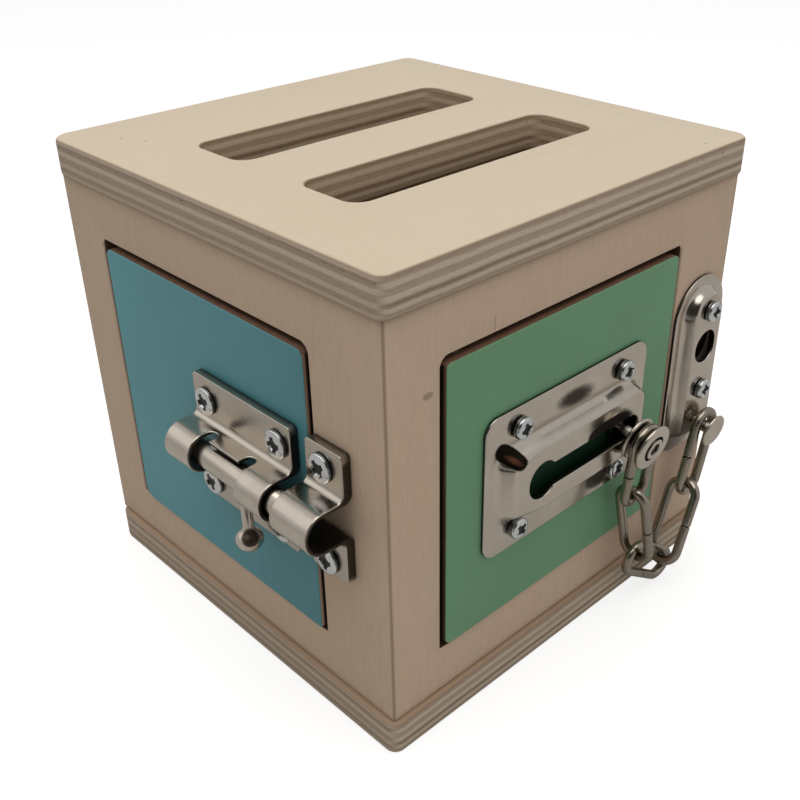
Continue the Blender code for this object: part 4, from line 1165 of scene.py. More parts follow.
def bolt_window(p, bolt, near):
    """The window in front of the rod, with a tab between two round notches."""
    def window(way):
        outs = near[:, 1]
        middle = int(np.argmax(outs))
        upper = np.interp((bolt.axis_out - bolt.relief_in, bolt.axis_out + bolt.tab),
                          outs[:middle + 1][10:], way[:middle + 1][10:])
        lower = np.interp(-bolt.web_out, -outs[middle:][:-10], way[middle:][:-10])
        left, right = p.window
        notch, tab = upper
        first = (right - bolt.relief, notch)
        last = (left + bolt.relief, notch)
        line = [(left, lower), (right, lower)]
        line += [tuple(v) for v in arc(first, bolt.relief, 0, -180, 20)]
        line += [(right - 2 * bolt.relief, tab), (left + 2 * bolt.relief, tab)]
        line += [tuple(v) for v in arc(last, bolt.relief, 0, -180, 20)]
        return np.array(line)

    return window


def bolt_pieces(settings, p, looks):
    bolt = settings.bolt
    low = p.bolt_middle - bolt.height / 2
    near, far = strap_lines(p, bolt, bolt.flange, p.on_door, bolt.gap, low, low + bolt.height)
    body = strap_piece("bolt_body_look", p.bolt_start, p.bolt_end, near, far,
                       [bolt_window(p, bolt, near)], p.left, bolt.corner)
    near, far = strap_lines(p, bolt, bolt.keeper_flange, SEAT, bolt.keeper_gap, low,
                            low + bolt.height)
    keeper = strap_piece("bolt_keeper_look", p.keeper, p.keeper + bolt.keeper_length, near,
                         far, [], p.left, bolt.corner)
    show(body, looks.nickel, "side_door", "bolt_body")
    show(keeper, looks.nickel, "box", "bolt_keeper")


def rod_piece(settings, p, looks):
    bolt = settings.bolt
    start = p.bolt_start + bolt.tail
    end = p.keeper - bolt.short
    r = bolt.radius
    profile = [(start, 0.0002), (start, r - 0.0006), (start + 0.00018, r - 0.00018),
               (start + 0.0006, r), (end - 0.0006, r), (end - 0.00018, r - 0.00018),
               (end, r - 0.0006), (end, 0.0002)]
    along = p.left @ Matrix(((0, 0, 1, 0), (1, 0, 0, p.axis), (0, 1, 0, bolt.axis_out),
                             (0, 0, 0, 1)))
    show(lathe("bolt_rod_look", profile, along), looks.nickel, "bolt_rod", "bolt_rod")


def knob_piece(settings, p, looks):
    bolt = settings.bolt
    top = -bolt.radius - SEAT
    drop, half, r, stem = -bolt.knob_drop, bolt.knob_height / 2, bolt.knob_radius, bolt.stem
    meet = math.asin(stem / r) + 0.25
    profile = [(top, 0.0001), (top, stem - 0.0002), (top - 0.0002, stem)]
    ball = [(drop + half * math.cos(angle), r * math.sin(angle))
            for angle in np.linspace(meet, math.pi, 28)]
    neck = (ball[0][0] + 0.0018, stem)
    profile.append(neck)
    for share in (0.35, 0.6, 0.8, 0.93):
        profile.append((neck[0] + (ball[0][0] - neck[0]) * share,
                        stem + (ball[0][1] - stem) * share ** 2.2))
    profile += [(out, max(radius, 0.00005)) for out, radius in ball]
    along = p.knob + bolt.knob_shift
    up = p.left @ Matrix(((1, 0, 0, along), (0, 0, 1, p.axis), (0, -1, 0, bolt.axis_out),
                          (0, 0, 0, 1)))
    # A painted reflection: a dark oval on the ball where it faces the camera.
    ball = up @ Vector((0, 0, drop))
    towards = (Vector(settings.stage.place) - ball).normalized()
    spot = tuple(ball + r * (towards + Vector((0, -0.10, 0.10))).normalized())
    look = nickel("knob_finish_and_painted_reflection", settings.finish.nickel, 0.17, 0.27, 0.04,
                  (((0.055, 0.038, 0.027), 0.92, spot, (0.0027,) * 3, 0.0, 0.3),))
    show(lathe("bolt_knob_look", profile, up, sharp=70.0), look, "bolt_knob", "bolt_knob")


# Plates on the front


def pressed_plate(name, outline, hole, rings, base, sheet, height, matrix):
    """A thin plate with one hole, pressed out by a height; painted shade on its back and rims.
    """
    def front(spots, drop):
        return np.column_stack((spots, base + sheet - SEAT + height(spots) - drop))

    def back(spots, drop):
        return np.column_stack((spots, base + np.maximum(height(spots) - SEAT, 0) + drop))

    return sheet_piece(name, outline, [hole], rings, front, back, matrix, 0.00035,
                       rim_shade=lambda spots: np.full(len(spots), 0.75), back_shade=0.95)


def track_piece(settings, p, looks):
    """The keyhole plate: a pressed track with a keyhole slot."""
    track = settings.track
    middle = ((p.boss[0] + p.boss[1]) / 2, p.boss_rise)
    wide = p.boss[1] - p.boss[0]
    outline = resample(rounded(track.width, track.height, track.corner, p.track_at,
                               steps=14), 0.002)
    slot = resample(keyhole(p.hole, track.hole, p.slot_end, track.slot, p.slot_rise), 0.0012)
    foot = resample(rounded(wide, track.rise, track.corner + 0.001, middle, steps=16), 0.0015)

    rings = [offset(foot, track.slope * share)
             for share in (-0.12, 0, 0.1, 0.2, 0.3, 0.45, 0.6, 0.72, 0.82, 0.92, 1.0, 1.12, 1.3,
                           1.5, 1.75, 2.0, 2.25, 2.5)]

    def height(spots):
        left = np.clip((middle[0] - wide * 0.22 - spots[:, 0]) / (wide * 0.22), 0, 1)
        slope = track.slope + (track.left_slope - track.slope) * left ** 1.5
        return ramp(signed(foot, spots) / slope, 0.22) * track.out

    plate = pressed_plate("keyhole_plate_look", outline, slot, rings, p.on_door, track.sheet,
                          height, p.front)
    end, rise = p.slot_end, p.slot_rise
    # Painted reflections: dark ovals round the slot's end and on the frame above and below it,
    # and a dark one with a brown middle at the track's left corner.
    dark, brown = (0.030, 0.022, 0.015), (0.12, 0.045, 0.025)
    painted_reflections = ((dark, 1.0, (end - 0.0145, rise + 0.0034), (0.0100, 0.0042), 0, 0.06, 3.0),
              (dark, 0.92, (end - 0.0256, rise + 0.0177), (0.0074, 0.0027), 3, 0.8, 2.0),
              (dark, 0.85, (end - 0.0123, rise - 0.0164), (0.0056, 0.0036), 8, 0.55, 2.4),
              ((0.012, 0.009, 0.006), 1.0, (end - 0.0550, rise + 0.0116), (0.0048, 0.0027), 40,
               0.20, 2.4),
              (brown, 0.6, (end - 0.0544, rise + 0.0104), (0.0021, 0.0008), 34, 0.6, 2.0))
    look = nickel("track_finish_and_painted_reflections", settings.finish.nickel, 0.14, 0.23, 0.12, painted_reflections)
    show(plate, look, "front_door", "keyhole_plate")


def anchor_piece(settings, p, looks):
    """The anchor plate: a round-topped plate with a pressed boss and a round hole."""
    anchor = settings.anchor
    low, high = p.anchor_low, p.anchor_low + anchor.length
    outline = resample(arched(anchor.width, low, high, anchor.foot_corner, at=p.anchor), 0.0015)
    foot = resample(arched(anchor.width, low, high, anchor.foot_corner + 0.001, anchor.rim,
                           anchor.lip - anchor.rim, p.anchor), 0.0015)
    hole = circle(anchor.hole, (p.anchor, low + anchor.hole_up), 48)

    def height(spots):
        inside = signed(foot, spots)
        rise = ramp(inside / anchor.slope, 0.20)
        crown = np.clip(inside / (anchor.width / 2 - anchor.rim), 0, 1)
        return rise * (anchor.out - 0.0004) + 0.0004 * np.sin(crown * math.pi / 2)

    rings = [offset(foot, anchor.slope * share)
             for share in (-0.12, 0, 0.1, 0.2, 0.32, 0.45, 0.6, 0.75, 0.88, 1.0, 1.3, 1.8, 2.3)]
    plate = pressed_plate("anchor_plate_look", outline, hole, rings, SEAT, anchor.sheet, height,
                          p.front)
    # Painted reflections: a dark oval over the boss's lower left foot and a faint dark line
    # along its left slope.
    dark, left = (0.05, 0.038, 0.028), p.anchor - anchor.width / 2
    painted_reflections = ((dark, 0.70, (left + 0.0055, low + 0.0055), (0.0095, 0.0085), 0, 0.9, 2.2),
              (dark, 0.25, (left + 0.0050, low + 0.0300), (0.0009, 0.0250), 0, 0.6, 2.0))
    look = nickel("anchor_finish_and_painted_reflections", settings.finish.nickel, 0.14, 0.23, 0.12, painted_reflections)
    show(plate, look, "box", "anchor_plate")


def stud_matrix(settings, p):
    """The slide stud's own axis, from the middle of the slot's mouth outwards."""
    track, stud = settings.track, settings.stud
    rise = p.slot_rise - track.slot / 2 + stud.shaft + SEAT
    start = Matrix.Translation((p.stud, rise, p.on_door + track.out))
    return p.front @ start @ Matrix.Rotation(stud.droop, 4, "X")


def round_edge(profile_part, out, radius, thick):
    """Rounded rim of a disc between two faces."""
    half = thick / 2
    for step in range(7):
        angle = -math.pi / 2 + math.pi * step / 6
        profile_part.append((out + half + half * math.sin(angle),
                             radius - half + half * math.cos(angle)))


def stud_piece(settings, p, looks):
    """The slide stud: foot, shaft, two discs with a hub between them, and a hollow rivet."""
    stud = settings.stud
    back = stud.hub_out - stud.hub_length / 2
    front = stud.hub_out + stud.hub_length / 2
    thick = stud.disc_thick
    face = front + thick
    foot = -stud.foot_back
    # The third numbers paint shade in the groove by the slot, on the rear disc's back, round
    # the hub and in the rivet's groove and pit; below zero they paint a highlight on the shaft.
    profile = [(foot, 0.0002), (foot, stud.foot - 0.0003), (foot + 0.0003, stud.foot),
               (foot + stud.foot_thick, stud.foot), (foot + stud.foot_thick, stud.shaft),
               (-0.0012, stud.shaft, 0.3), (0.0, stud.shaft, -0.9),
               (back - thick - 0.0004, stud.shaft, -0.9),
               (back - thick - 0.0003, stud.hub * 0.75, 0.5),
               (back - thick, stud.hub * 0.8, 0.9),
               (back - thick, stud.rear_disc - 0.0010, 0.85)]
    round_edge(profile, back - thick, stud.rear_disc, thick)
    profile += [(back, stud.rear_disc - 0.0012, 0.5), (back, stud.hub + 0.0004, 0.85),
                (back + 0.0003, stud.hub, 0.85), (front - 0.0003, stud.hub, 0.85),
                (front, stud.hub + 0.0004, 0.85), (front, stud.disc - 0.0012, 0.5)]
    round_edge(profile, front, stud.disc, thick)
    rim = stud.rivet
    lift = stud.rivet_out
    profile += [(face, rim + 0.0011), (face, rim + 0.00085, 0.05),
                (face - 0.0001, rim + 0.0008, 0.9), (face - 0.0006, rim + 0.0007, 0.95),
                (face - 0.0006, rim + 0.0001, 0.95), (face, rim, 0.9),
                (face + lift * 0.6, rim - 0.00005, 0.75), (face + lift * 0.8, rim - 0.0001),
                (face + lift, rim - 0.0004, 0.0), (face + lift, 0.0021, 0.0),
                (face + lift - 0.0001, 0.0020, 0.7), (face - 0.0004, 0.0018, 0.93),
                (face - 0.0007, 0.0011, 0.95), (face - 0.0007, 0.0010, 0.2),
                (face - 0.0002, 0.0008, 0.2), (face - 0.0002, 0.0001, 0.3)]
    piece = lathe("slide_stud_look", profile, stud_matrix(settings, p), 96, 50.0)
    show(piece, looks.nickel, "slide_stud", "slide_stud")


def anchor_stud_piece(settings, p, looks):
    """The riveted stud of the anchor plate, with a flat domed head."""
    anchor = settings.anchor
    under = anchor.out
    head, wide, thick = anchor.stud_out, anchor.head, anchor.head_thick
    profile = [(under - 0.0009, 0.0002), (under - 0.0009, 0.0028), (under - 0.0003, 0.0028),
               (under, anchor.stud + 0.0006), (under + 0.0006, anchor.stud),
               (head - 0.0004, anchor.stud), (head, anchor.stud + 0.0005),
               (head, wide - 0.0004), (head + 0.0002, wide - 0.0001), (head + 0.0005, wide)]
    profile += [(head + 0.0005 + (thick - 0.0005) * math.sin(angle),
                 wide * math.cos(angle) ** 0.45)
                for angle in np.radians((25, 40, 55, 66, 75, 82, 86.5))]
    profile.append((head + thick, 0.0001))
    place = (p.front @ Matrix.Translation((*p.anchor_stud, 0))
             @ Matrix.Rotation(anchor.droop, 4, "X"))
    piece = lathe("anchor_stud_look", profile, place, 72, 50.0)
    show(piece, looks.satin, "box", "anchor_stud")


# Screws


def screw_shape(screw, r, high):
    """A pan head with a tapering cross recess, its seat at zero."""
    outline = circle(r, steps=56)
    reach = screw.recess * r
    half_wide = reach * screw.recess_wide

    def crosswise(spots):
        x, y = np.abs(spots[:, 0]), np.abs(spots[:, 1])
        long_way, short_way = np.maximum(x, y), np.minimum(x, y)
        taper = half_wide * (1.0 - 0.30 * long_way / reach)
        inside = np.minimum(reach - long_way, taper - short_way)
        middle = (half_wide * 1.75 - np.hypot(x, y)) * 0.9
        return np.maximum(inside, middle)

    def recess(spots):
        return ramp(crosswise(spots) / (0.055 * r) + 0.3, 0.2)

    def front(spots, drop):
        away = np.hypot(spots[:, 0], spots[:, 1]) / r
        dome = high * (0.48 + 0.52 * np.sqrt(np.maximum(1 - away ** 3.6, 0)))
        fade = 1 - 0.35 * np.clip(away * r / reach, 0, 1)
        return np.column_stack((spots, dome - recess(spots) * screw.recess_deep * fade))

    def back(spots, drop):
        return np.column_stack((spots * 0.985, np.zeros(len(spots))))

    rings = [circle(r * k, steps=56) for k in (0.12, 0.2, 0.28, 0.36, 0.44, 0.52, 0.60, 0.68,
                                               0.76, 0.83, 0.89, 0.94, 0.975, 0.993)]
    lines = []
    for shift in np.linspace(-1.25, 1.25, 25) * half_wide:
        for swap in (False, True):
            line = np.array([(-reach * 1.08, shift), (reach * 1.08, shift)])
            line = resample(line, 0.04 * r, False)
            lines.append(line[:, ::-1] if swap else line)
    # Painted shade in the recess and on the head's side.
    return sheet_piece("screw_shape", outline, [], rings + lines, front, back,
                       Matrix.Identity(4), 0.0, 0.0, 55.0,
                       face_shade=lambda spots: recess(spots) * 0.93,
                       rim_shade=lambda spots: np.full(len(spots), 0.6))


def corner_spots(middle, wide, high, inset, edge):
    return [(middle[0] + side * (wide / 2 - inset), middle[1] + up * (high / 2 - edge))
            for up in (1, -1) for side in (-1, 1)]


def screw_set(name, shape, matrix, spots, seat, body, node, look, turns):
    """One mesh with all the screws of one plate."""
    points = bpy.data.meshes.new(name)
    points.from_pydata([tuple(matrix @ Vector((u, v, seat))) for u, v in spots], [], [])
    point_values(points, "turn", np.radians(turns))
    obj = new_object(name, points)
    source = new_object("screw_source", shape.data.copy())
    source.data.transform(matrix.to_3x3().to_4x4())
    axis = matrix.to_3x3() @ Vector((0, 0, 1))
    run_tree(obj, scatter_tree(), {"Screw": source, "Axis": tuple(axis), "Material": look})
    bpy.data.objects.remove(source)
    nodes = [f"{node}_{number + 1}" for number in range(len(spots))]
    show(obj, look, body, *nodes, slot="zinc_screw")


def nudged(spots, nudges):
    """Screw places moved by hand-fitted amounts in millimetres."""
    return [(u + along / 1000, v + up / 1000) for (u, v), (along, up) in zip(spots, nudges)]


def screw_pieces(settings, p, looks):
    bolt, track, anchor, screw = settings.bolt, settings.track, settings.anchor, settings.screw
    shape = screw_shape(screw, screw.radius, screw.height)
    small = screw_shape(screw, screw.small, screw.small_height)
    bolt_spots = corner_spots(((p.bolt_start + p.bolt_end) / 2, p.bolt_middle), bolt.length,
                              bolt.height, bolt.screw_inset, bolt.screw_edge)
    keeper_spots = [(p.keeper + bolt.keeper_length / 2,
                     p.bolt_middle + up * (bolt.height / 2 - bolt.screw_edge))
                    for up in (1, -1)]
    track_spots = corner_spots(p.track_at, track.width, track.height, track.screw_inset,
                               track.screw_edge)
    anchor_spots = [(p.anchor, p.anchor_low + rise)
                    for rise in (anchor.high_screw, anchor.low_screw)]
    bolt_spots = nudged(bolt_spots, ((0.1, -1.9), (0.4, -1.5), (-1.1, -0.1), (-0.6, 0.0)))
    keeper_spots = nudged(keeper_spots, ((-0.7, -1.0), (-0.3, -0.8)))
    track_spots = nudged(track_spots, ((1.2, -0.7), (0.5, -0.8), (1.0, 0.8), (0.0, 0.0)))
    screw_set("bolt_screws", shape, p.left, bolt_spots, p.on_door + bolt.flange + SEAT,
              "side_door", "bolt_screw", looks.zinc, (24, 8, 30, 62))
    screw_set("keeper_screws", shape, p.left, keeper_spots, bolt.keeper_flange + 2 * SEAT,
              "box", "keeper_screw", looks.zinc, (38, 5))
    screw_set("track_screws", small, p.front, track_spots, p.on_door + track.sheet + SEAT,
              "front_door", "keyhole_plate_screw", looks.zinc, (8, 16, 40, 30))
    screw_set("anchor_screws", small, p.front, anchor_spots, anchor.out + anchor.sheet + SEAT,
              "box", "anchor_screw", looks.zinc, (0, 4))
    for source in (shape, small):
        bpy.data.objects.remove(source)


# Chain


LEANS = {"a": (5.4, -8.5), "b": (10.9, 2.8), "c": (54.2, -4.3), "d": (-24.7, 2.6),
         "e": (-14.9, 0.0)}


def lean(name):
    """Unit direction that leans towards +X and then out from the front."""
    along, out = (math.tan(math.radians(angle)) for angle in LEANS[name])
    return Vector((along, -out, -1)).normalized()


def link_sizes(chain):
    """Radius of a link's bends and length of its straight sides, in the wire's middle."""
    bend = chain.inner_width / 2 + chain.wire
    return bend, chain.inner_length + 2 * chain.wire - 2 * bend


def link_frame(bend, down, across):
    """Frame of a link at the middle of its upper bend: across, out of its plane, up."""
    side = (across - across.dot(down) * down).normalized()
    made = Matrix.Identity(4)
    for column, vector in enumerate((side, side.cross(down), -down, bend)):
        made.col[column].xyz = vector
    return made


def hang_from(upper, down, across, chain):
    """Frame of a link that hangs from another with a little play."""
    bend, straight = link_sizes(chain)
    lower = link_frame(Vector(), down, across)
    line = upper.col[1].xyz.cross(lower.col[1].xyz).normalized()
    line *= math.copysign(1, -line.dot(upper.col[2].xyz))
    foot = upper @ Vector((0, 0, -straight))
    lower.col[3].xyz = foot + line * (2 * bend - 2 * chain.wire - chain.gap)
    return lower


def hang_on_round(middle, radius, down, across, chain):
    """Frame of a link that hangs on a round pin or hub."""
    bend, _ = link_sizes(chain)
    return link_frame(middle + (bend - radius - chain.gap - chain.wire) * down, down, across)


def link_path(chain, seam_side, seam_share):
    """Closed centre line of a link as (across, up), opened by a narrow seam."""
    bend, straight = link_sizes(chain)
    seam = -straight * seam_share
    half = chain.seam / 2
    upper = [(bend * math.cos(t), bend * math.sin(t)) for t in np.linspace(0, math.pi, 19)]
    lower = [(bend * math.cos(t), -straight + bend * math.sin(t))
             for t in np.linspace(math.pi, 2 * math.pi, 19)]
    bevel = chain.wire * 0.16
    start = [(bend, seam + half), (bend, seam + half + bevel), (bend, seam + half + 3 * bevel)]
    end = [(bend, seam - half - 3 * bevel), (bend, seam - half - bevel), (bend, seam - half)]
    left = [(-bend, -straight * share) for share in (0.25, 0.5, 0.75)]
    path = start + upper + left + lower + end
    return [(seam_side * x, y) for x, y in path]


def half_path(chain, end):
    """Centre line of the upper (1) or lower (-1) half of a link."""
    bend, straight = link_sizes(chain)
    middle = 0 if end > 0 else -straight
    cut = end * chain.gap * 0.72 - straight / 2
    turns = np.linspace(0, math.pi, 19)
    path = [(bend * math.cos(t), middle + end * bend * math.sin(t)) for t in turns]
    run = [cut + (middle - cut) * share for share in (0.0, 0.03, 0.2, 0.4, 0.6, 0.8)]
    first = [(bend, y) for y in run]
    last = [(-bend, y) for y in reversed(run)]
    return first + path + last


def wire_piece(name, path, chain, matrix, look, body, node, slant=False):
    """A link of round wire along its path, placed by its frame."""
    points = bpy.data.meshes.new(name)
    count = len(path)
    points.from_pydata([(x, 0.0, y) for x, y in path], [(k, k + 1) for k in range(count - 1)],
                       [])
    values = [1.0] * count
    if not slant:
        values[0] = values[-1] = 0.84
    point_values(points, "pinch", values)
    point_values(points, "shade", [0.9 if value < 1 else 0.0 for value in values])
    obj = new_object(name, points)
    run_tree(obj, wire_tree(), {"Radius": chain.wire, "Sides": chain.sides,
                                "Material": look})
    if slant:
        slant_cuts(obj.data, chain)
    obj.data.transform(matrix)
    cleaned(obj.data, 50.0)
    show(obj, look, body, node, slot="chain_nickel")


def slant_cuts(mesh, chain):
    """Slants both cut ends of a half link the same way, fading out towards its bend."""
    bend, straight = link_sizes(chain)
    for vertex in mesh.vertices:
        x, y, z = vertex.co
        side = 1 if x > 0 else -1
        fade = 1 - min(abs(z + straight / 2) / (straight / 2), 1)
        if -straight <= z <= 0:
            vertex.co.z = z + (x - side * bend) * max(fade, 0)


def chain_pieces(settings, p, looks):
    chain = settings.chain
    hub = stud_matrix(settings, p) @ Vector((0, 0, settings.stud.hub_out))
    pin = p.front @ Vector((*p.anchor_stud, chain.last_out))
    along, outward = Vector((1, 0, 0)), Vector((0, -1, 0))
    a = hang_on_round(hub, settings.stud.hub, lean("a"), along, chain)
    b = hang_from(a, lean("b"), outward, chain)
    c = hang_from(b, lean("c"), along, chain)
    e = hang_on_round(pin, settings.anchor.stud, lean("e"), along, chain)
    d = hang_from(e, lean("d"), outward, chain)
    for name, frame_of, side, share in (("a", a, -1, 0.55), ("b", b, 1, 0.55),
                                        ("d", d, 1, 0.5), ("e", e, -1, 0.55)):
        wire_piece(f"chain_link_{name}_look", link_path(chain, side, share), chain, frame_of,
                   looks.chain, f"link_{name}", f"chain_link_{name}")
    for word, end in (("upper", 1), ("lower", -1)):
        wire_piece(f"chain_link_c_{word}_look", half_path(chain, end), chain, c, looks.chain,
                   f"link_c_{word}", f"chain_link_c_{word}", slant=True)


# Putting together


def show(obj, look, body, *nodes, slot="nickel_plate"):
    """Gives a piece its material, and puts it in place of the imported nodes."""
    obj.data.materials.clear()
    obj.data.materials.append(look)
    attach(obj, body)
    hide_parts(*nodes)


def shared_looks(settings):
    """The metal finishes, made once and shared by the pieces."""
    finish = settings.finish
    made = SimpleNamespace()
    for word, colour_of, smooth, rough, wave in (
            ("nickel", finish.nickel, 0.18, 0.27, 0.04),
            ("satin", finish.nickel, 0.28, 0.38, 0.05),
            ("zinc", finish.zinc, 0.12, 0.22, 0.04),
            ("chain", finish.chain, 0.21, 0.31, 0.08)):
        found = bpy.data.materials.get(word + "_finish")
        setattr(made, word, found or nickel(word + "_finish", colour_of, smooth, rough, wave))
    return made


def wall_opening(p, far):
    return {"low": p.low, "high": p.high, "reach": p.face - 0.013, "far": far,
            "middle": p.rise, "half": p.open_high / 2 - 0.001}


class PieceOperator:
    """Runs the builders of one group of pieces; an error in a builder stops the script."""
    bl_options = {"REGISTER", "UNDO"}
    builders = ()

    def execute(self, context):
        settings = context.scene.latch_box
        self.build(settings, places(settings), shared_looks(settings))
        return {"FINISHED"}

    def build(self, settings, p, looks):
        for builder in self.builders:
            builder(settings, p, looks)


class LATCHBOX_OT_plates(PieceOperator, bpy.types.Operator):
    """Builds the top and bottom plate"""
    bl_idname = "latchbox.plates"
    bl_label = "Plates"

    def build(self, settings, p, looks):
        box, finish = settings.box, settings.finish
        low = box.height - box.plate
        specks = ((-0.0605, 0.0570, box.height), (-0.0568, 0.0490, box.height),
                  (0.0575, -0.0700, box.height))
        for name, veneer, start, slots, marks in (
                ("top_plate", tuple(finish.top), low, True, specks),
                ("bottom_plate", tuple(finish.ledge), 0.0, False, ())):
            cut = (box.slot_length / 2 + 0.003, box.slot_pitch / 2 + box.slot_width)
            look = plate_wood(name + "_wood", finish, veneer, start, box.plate, marks,
                              cut if slots else (0.0, 0.0))
            show(plate_piece(name + "_look", box, start, slots), look, "box", name,
                 slot="birch_plywood")


class LATCHBOX_OT_walls(PieceOperator, bpy.types.Operator):
    """Builds the walls with openings and finishes the plain ones"""
    bl_idname = "latchbox.walls"
    bl_label = "Walls"

    def build(self, settings, p, looks):
        box, finish = settings.box, settings.finish
        opening = wall_opening(p, p.latch + settings.door.front_shift)
        hinge = p.open_wide / 2 - p.open_at - box.side_trim
        knots = (((-0.0593, -p.face, 0.1127), 0.0022, 0.0012),
                 ((-0.0477, -p.face, 0.1204), 0.0010, 0.0010))
        cracks = (((-0.0359, -p.face, 0.1241), 0.00022, 0.0024),)
        # Painted shade behind the anchor plate's hole.
        hole_shades = ((p.anchor, p.anchor_low + settings.anchor.hole_up, 0.0085),)
        front = wall_wood("front_wall_wood", finish, "Y", p.face, opening, knots, cracks,
                          hole_shades, 1.065)
        left = wall_wood("left_wall_wood", finish, "X", p.face, wall_opening(p, hinge),
                         tone=1.02)
        front_piece = wall_piece("front_wall_look", box, p, p.front, box.front_corners,
                                 shift=settings.door.front_shift)
        left_piece = wall_piece("left_wall_look", box, p, p.left, box.side_corners,
                                trim=box.side_trim)
        show(front_piece, front, "box", "front_wall", slot="birch_plywood")
        show(left_piece, left, "box", "left_wall", slot="birch_plywood")
        for name, axis in (("back_wall", "Y"), ("right_wall", "X"), ("front_door_stop", "Y"),
                           ("side_door_stop", "Y")):
            look = wall_wood(name + "_wood", finish, axis, 1.0, {**opening, "reach": 0.0})
            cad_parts[name].material_slots[0].material = look
        for door in ("front_door", "side_door"):
            for end in ("lower", "upper"):
                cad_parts[f"{door}_pin_{end}"].material_slots[0].material = looks.zinc


class LATCHBOX_OT_doors(PieceOperator, bpy.types.Operator):
    """Builds the two painted doors"""
    bl_idname = "latchbox.doors"
    bl_label = "Doors"

    def build(self, settings, p, looks):
        box, door, finish = settings.box, settings.door, settings.finish
        front = -p.face - door.proud
        track = settings.track
        # The track's footprint, where the front door's paint gets painted shade.
        under = ((p.boss[0] + p.boss[1]) / 2, p.boss_rise, (p.boss[1] - p.boss[0]) / 2,
                 track.rise / 2)
        reach = p.open_wide / 2
        # The fade numbers are a painted sheen across each door.
        for name, paint, axis, matrix, fit, shade_cover, fade, brink, slot in (
                ("side_door", finish.teal, "X", p.left,
                 (door.side_corners, door.side_trim, 0.0), None, (reach, -reach, 1.10, 0.80),
                 (0.42, 0.31, 0.22), "teal_paint"),
                ("front_door", finish.green, "Y", p.front,
                 (door.front_corners, 0.0, door.front_shift), under,
                 (-reach, reach, 0.94, 1.01), (0.09, 0.045, 0.03), "green_paint")):
            look = door_paint(name + "_paint", finish, paint, axis, front, shade_cover, fade, brink)
            show(door_piece(name + "_look", door, p, matrix, *fit), look, name, name, slot=slot)


class LATCHBOX_OT_bolt(PieceOperator, bpy.types.Operator):
    """Builds the barrel bolt and its keeper"""
    bl_idname = "latchbox.bolt"
    bl_label = "Bolt"
    builders = (bolt_pieces, rod_piece, knob_piece)


class LATCHBOX_OT_track(PieceOperator, bpy.types.Operator):
    """Builds the keyhole plate and its slide stud"""
    bl_idname = "latchbox.track"
    bl_label = "Keyhole track"
    builders = (track_piece, stud_piece)


class LATCHBOX_OT_anchor(PieceOperator, bpy.types.Operator):
    """Builds the anchor plate and its stud"""
    bl_idname = "latchbox.anchor"
    bl_label = "Anchor plate"
    builders = (anchor_piece, anchor_stud_piece)


class LATCHBOX_OT_chain(PieceOperator, bpy.types.Operator):
    """Builds the links of the chain"""
    bl_idname = "latchbox.chain"
    bl_label = "Chain"
    builders = (chain_pieces,)


class LATCHBOX_OT_screws(PieceOperator, bpy.types.Operator):
    """Sets the screws of all plates"""
    bl_idname = "latchbox.screws"
    bl_label = "Screws"
    builders = (screw_pieces,)


# Stage


def soft_lamp(name, place, target, size, power, tint):
    light = bpy.data.lights.new(name, "AREA")
    light.shape, light.size, light.energy, light.color = "DISK", size, power, tint
    obj = new_object(name, light)
    obj.location = place
    obj.rotation_euler = (Vector(target) - Vector(place)).to_track_quat("-Z", "Y").to_euler()
    return obj


def seen_share(t, mirror):
    """1 for camera rays, the mirrored share for rays off metal and through glass, else 0."""
    rays = t.add("ShaderNodeLightPath").outputs
    shiny = t.maths("ADD", rays["Is Glossy Ray"], rays["Is Transmission Ray"], clamp=True)
    return t.maths("MULTIPLY_ADD", shiny, mirror, rays["Is Camera Ray"], clamp=True)


FLOOR_REACH = 6.0  # half the floor's width


def rectangle(name, along, up):
    """A flat mesh from its half sizes."""
    mesh = bpy.data.meshes.new(name)
    mesh.from_pydata([(-along, -up, 0), (along, -up, 0), (along, up, 0), (-along, up, 0)], [],
                     [(0, 1, 2, 3)])
    return mesh


def put_surface(mesh, made, shader):
    """Gives a mesh a material whose surface is the shader node's output."""
    out = made.node_tree.nodes["Material Output"]
    made.node_tree.links.new(shader.outputs[0], out.inputs["Surface"])
    mesh.materials.append(made)


def floor_piece(mirror):
    """A wide pale floor that looks white and still takes a soft shadow."""
    mesh = rectangle("floor", FLOOR_REACH, FLOOR_REACH)
    obj = new_object("floor", mesh)
    made, t, shader = material("floor_paint")
    grain = t.noise(t.place(), 300.0)
    rays = t.add("ShaderNodeLightPath").outputs
    paint = t.mix(grain, (0.50, 0.48, 0.45), (0.53, 0.51, 0.48))
    t.fill(shader, {"Base Color": t.mix(rays["Is Camera Ray"], paint, WHITE),
                    "Roughness": 0.9})
    glow = t.add("ShaderNodeEmission", {"Color": WHITE})
    lift = t.add("ShaderNodeEmission", {"Color": WHITE,
                                        "Strength": t.times(rays["Is Camera Ray"], 0.42)})
    lit = t.add("ShaderNodeAddShader", {0: shader.outputs[0], 1: lift.outputs[0]})
    share = t.times(seen_share(t, mirror), 0.60)
    blend = t.add("ShaderNodeMixShader", {0: share, 1: lit.outputs[0], 2: glow.outputs[0]})
    put_surface(mesh, made, blend)


def room_light(strength, mirror):
    """Soft light from all round, white where the camera sees it."""
    world = bpy.data.worlds.new("room")
    world.use_nodes = True
    bpy.context.scene.world = world
    t = Tree(world.node_tree)
    nodes = world.node_tree.nodes
    plain = nodes["Background"]
    t.fill(plain, {"Color": (1.0, 0.985, 0.96), "Strength": strength})
    white = t.add("ShaderNodeBackground", {"Color": WHITE})
    blend = t.add("ShaderNodeMixShader", {0: seen_share(t, mirror), 1: plain.outputs[0],
                                          2: white.outputs[0]})
    world.node_tree.links.new(blend.outputs[0], nodes["World Output"].inputs["Surface"])


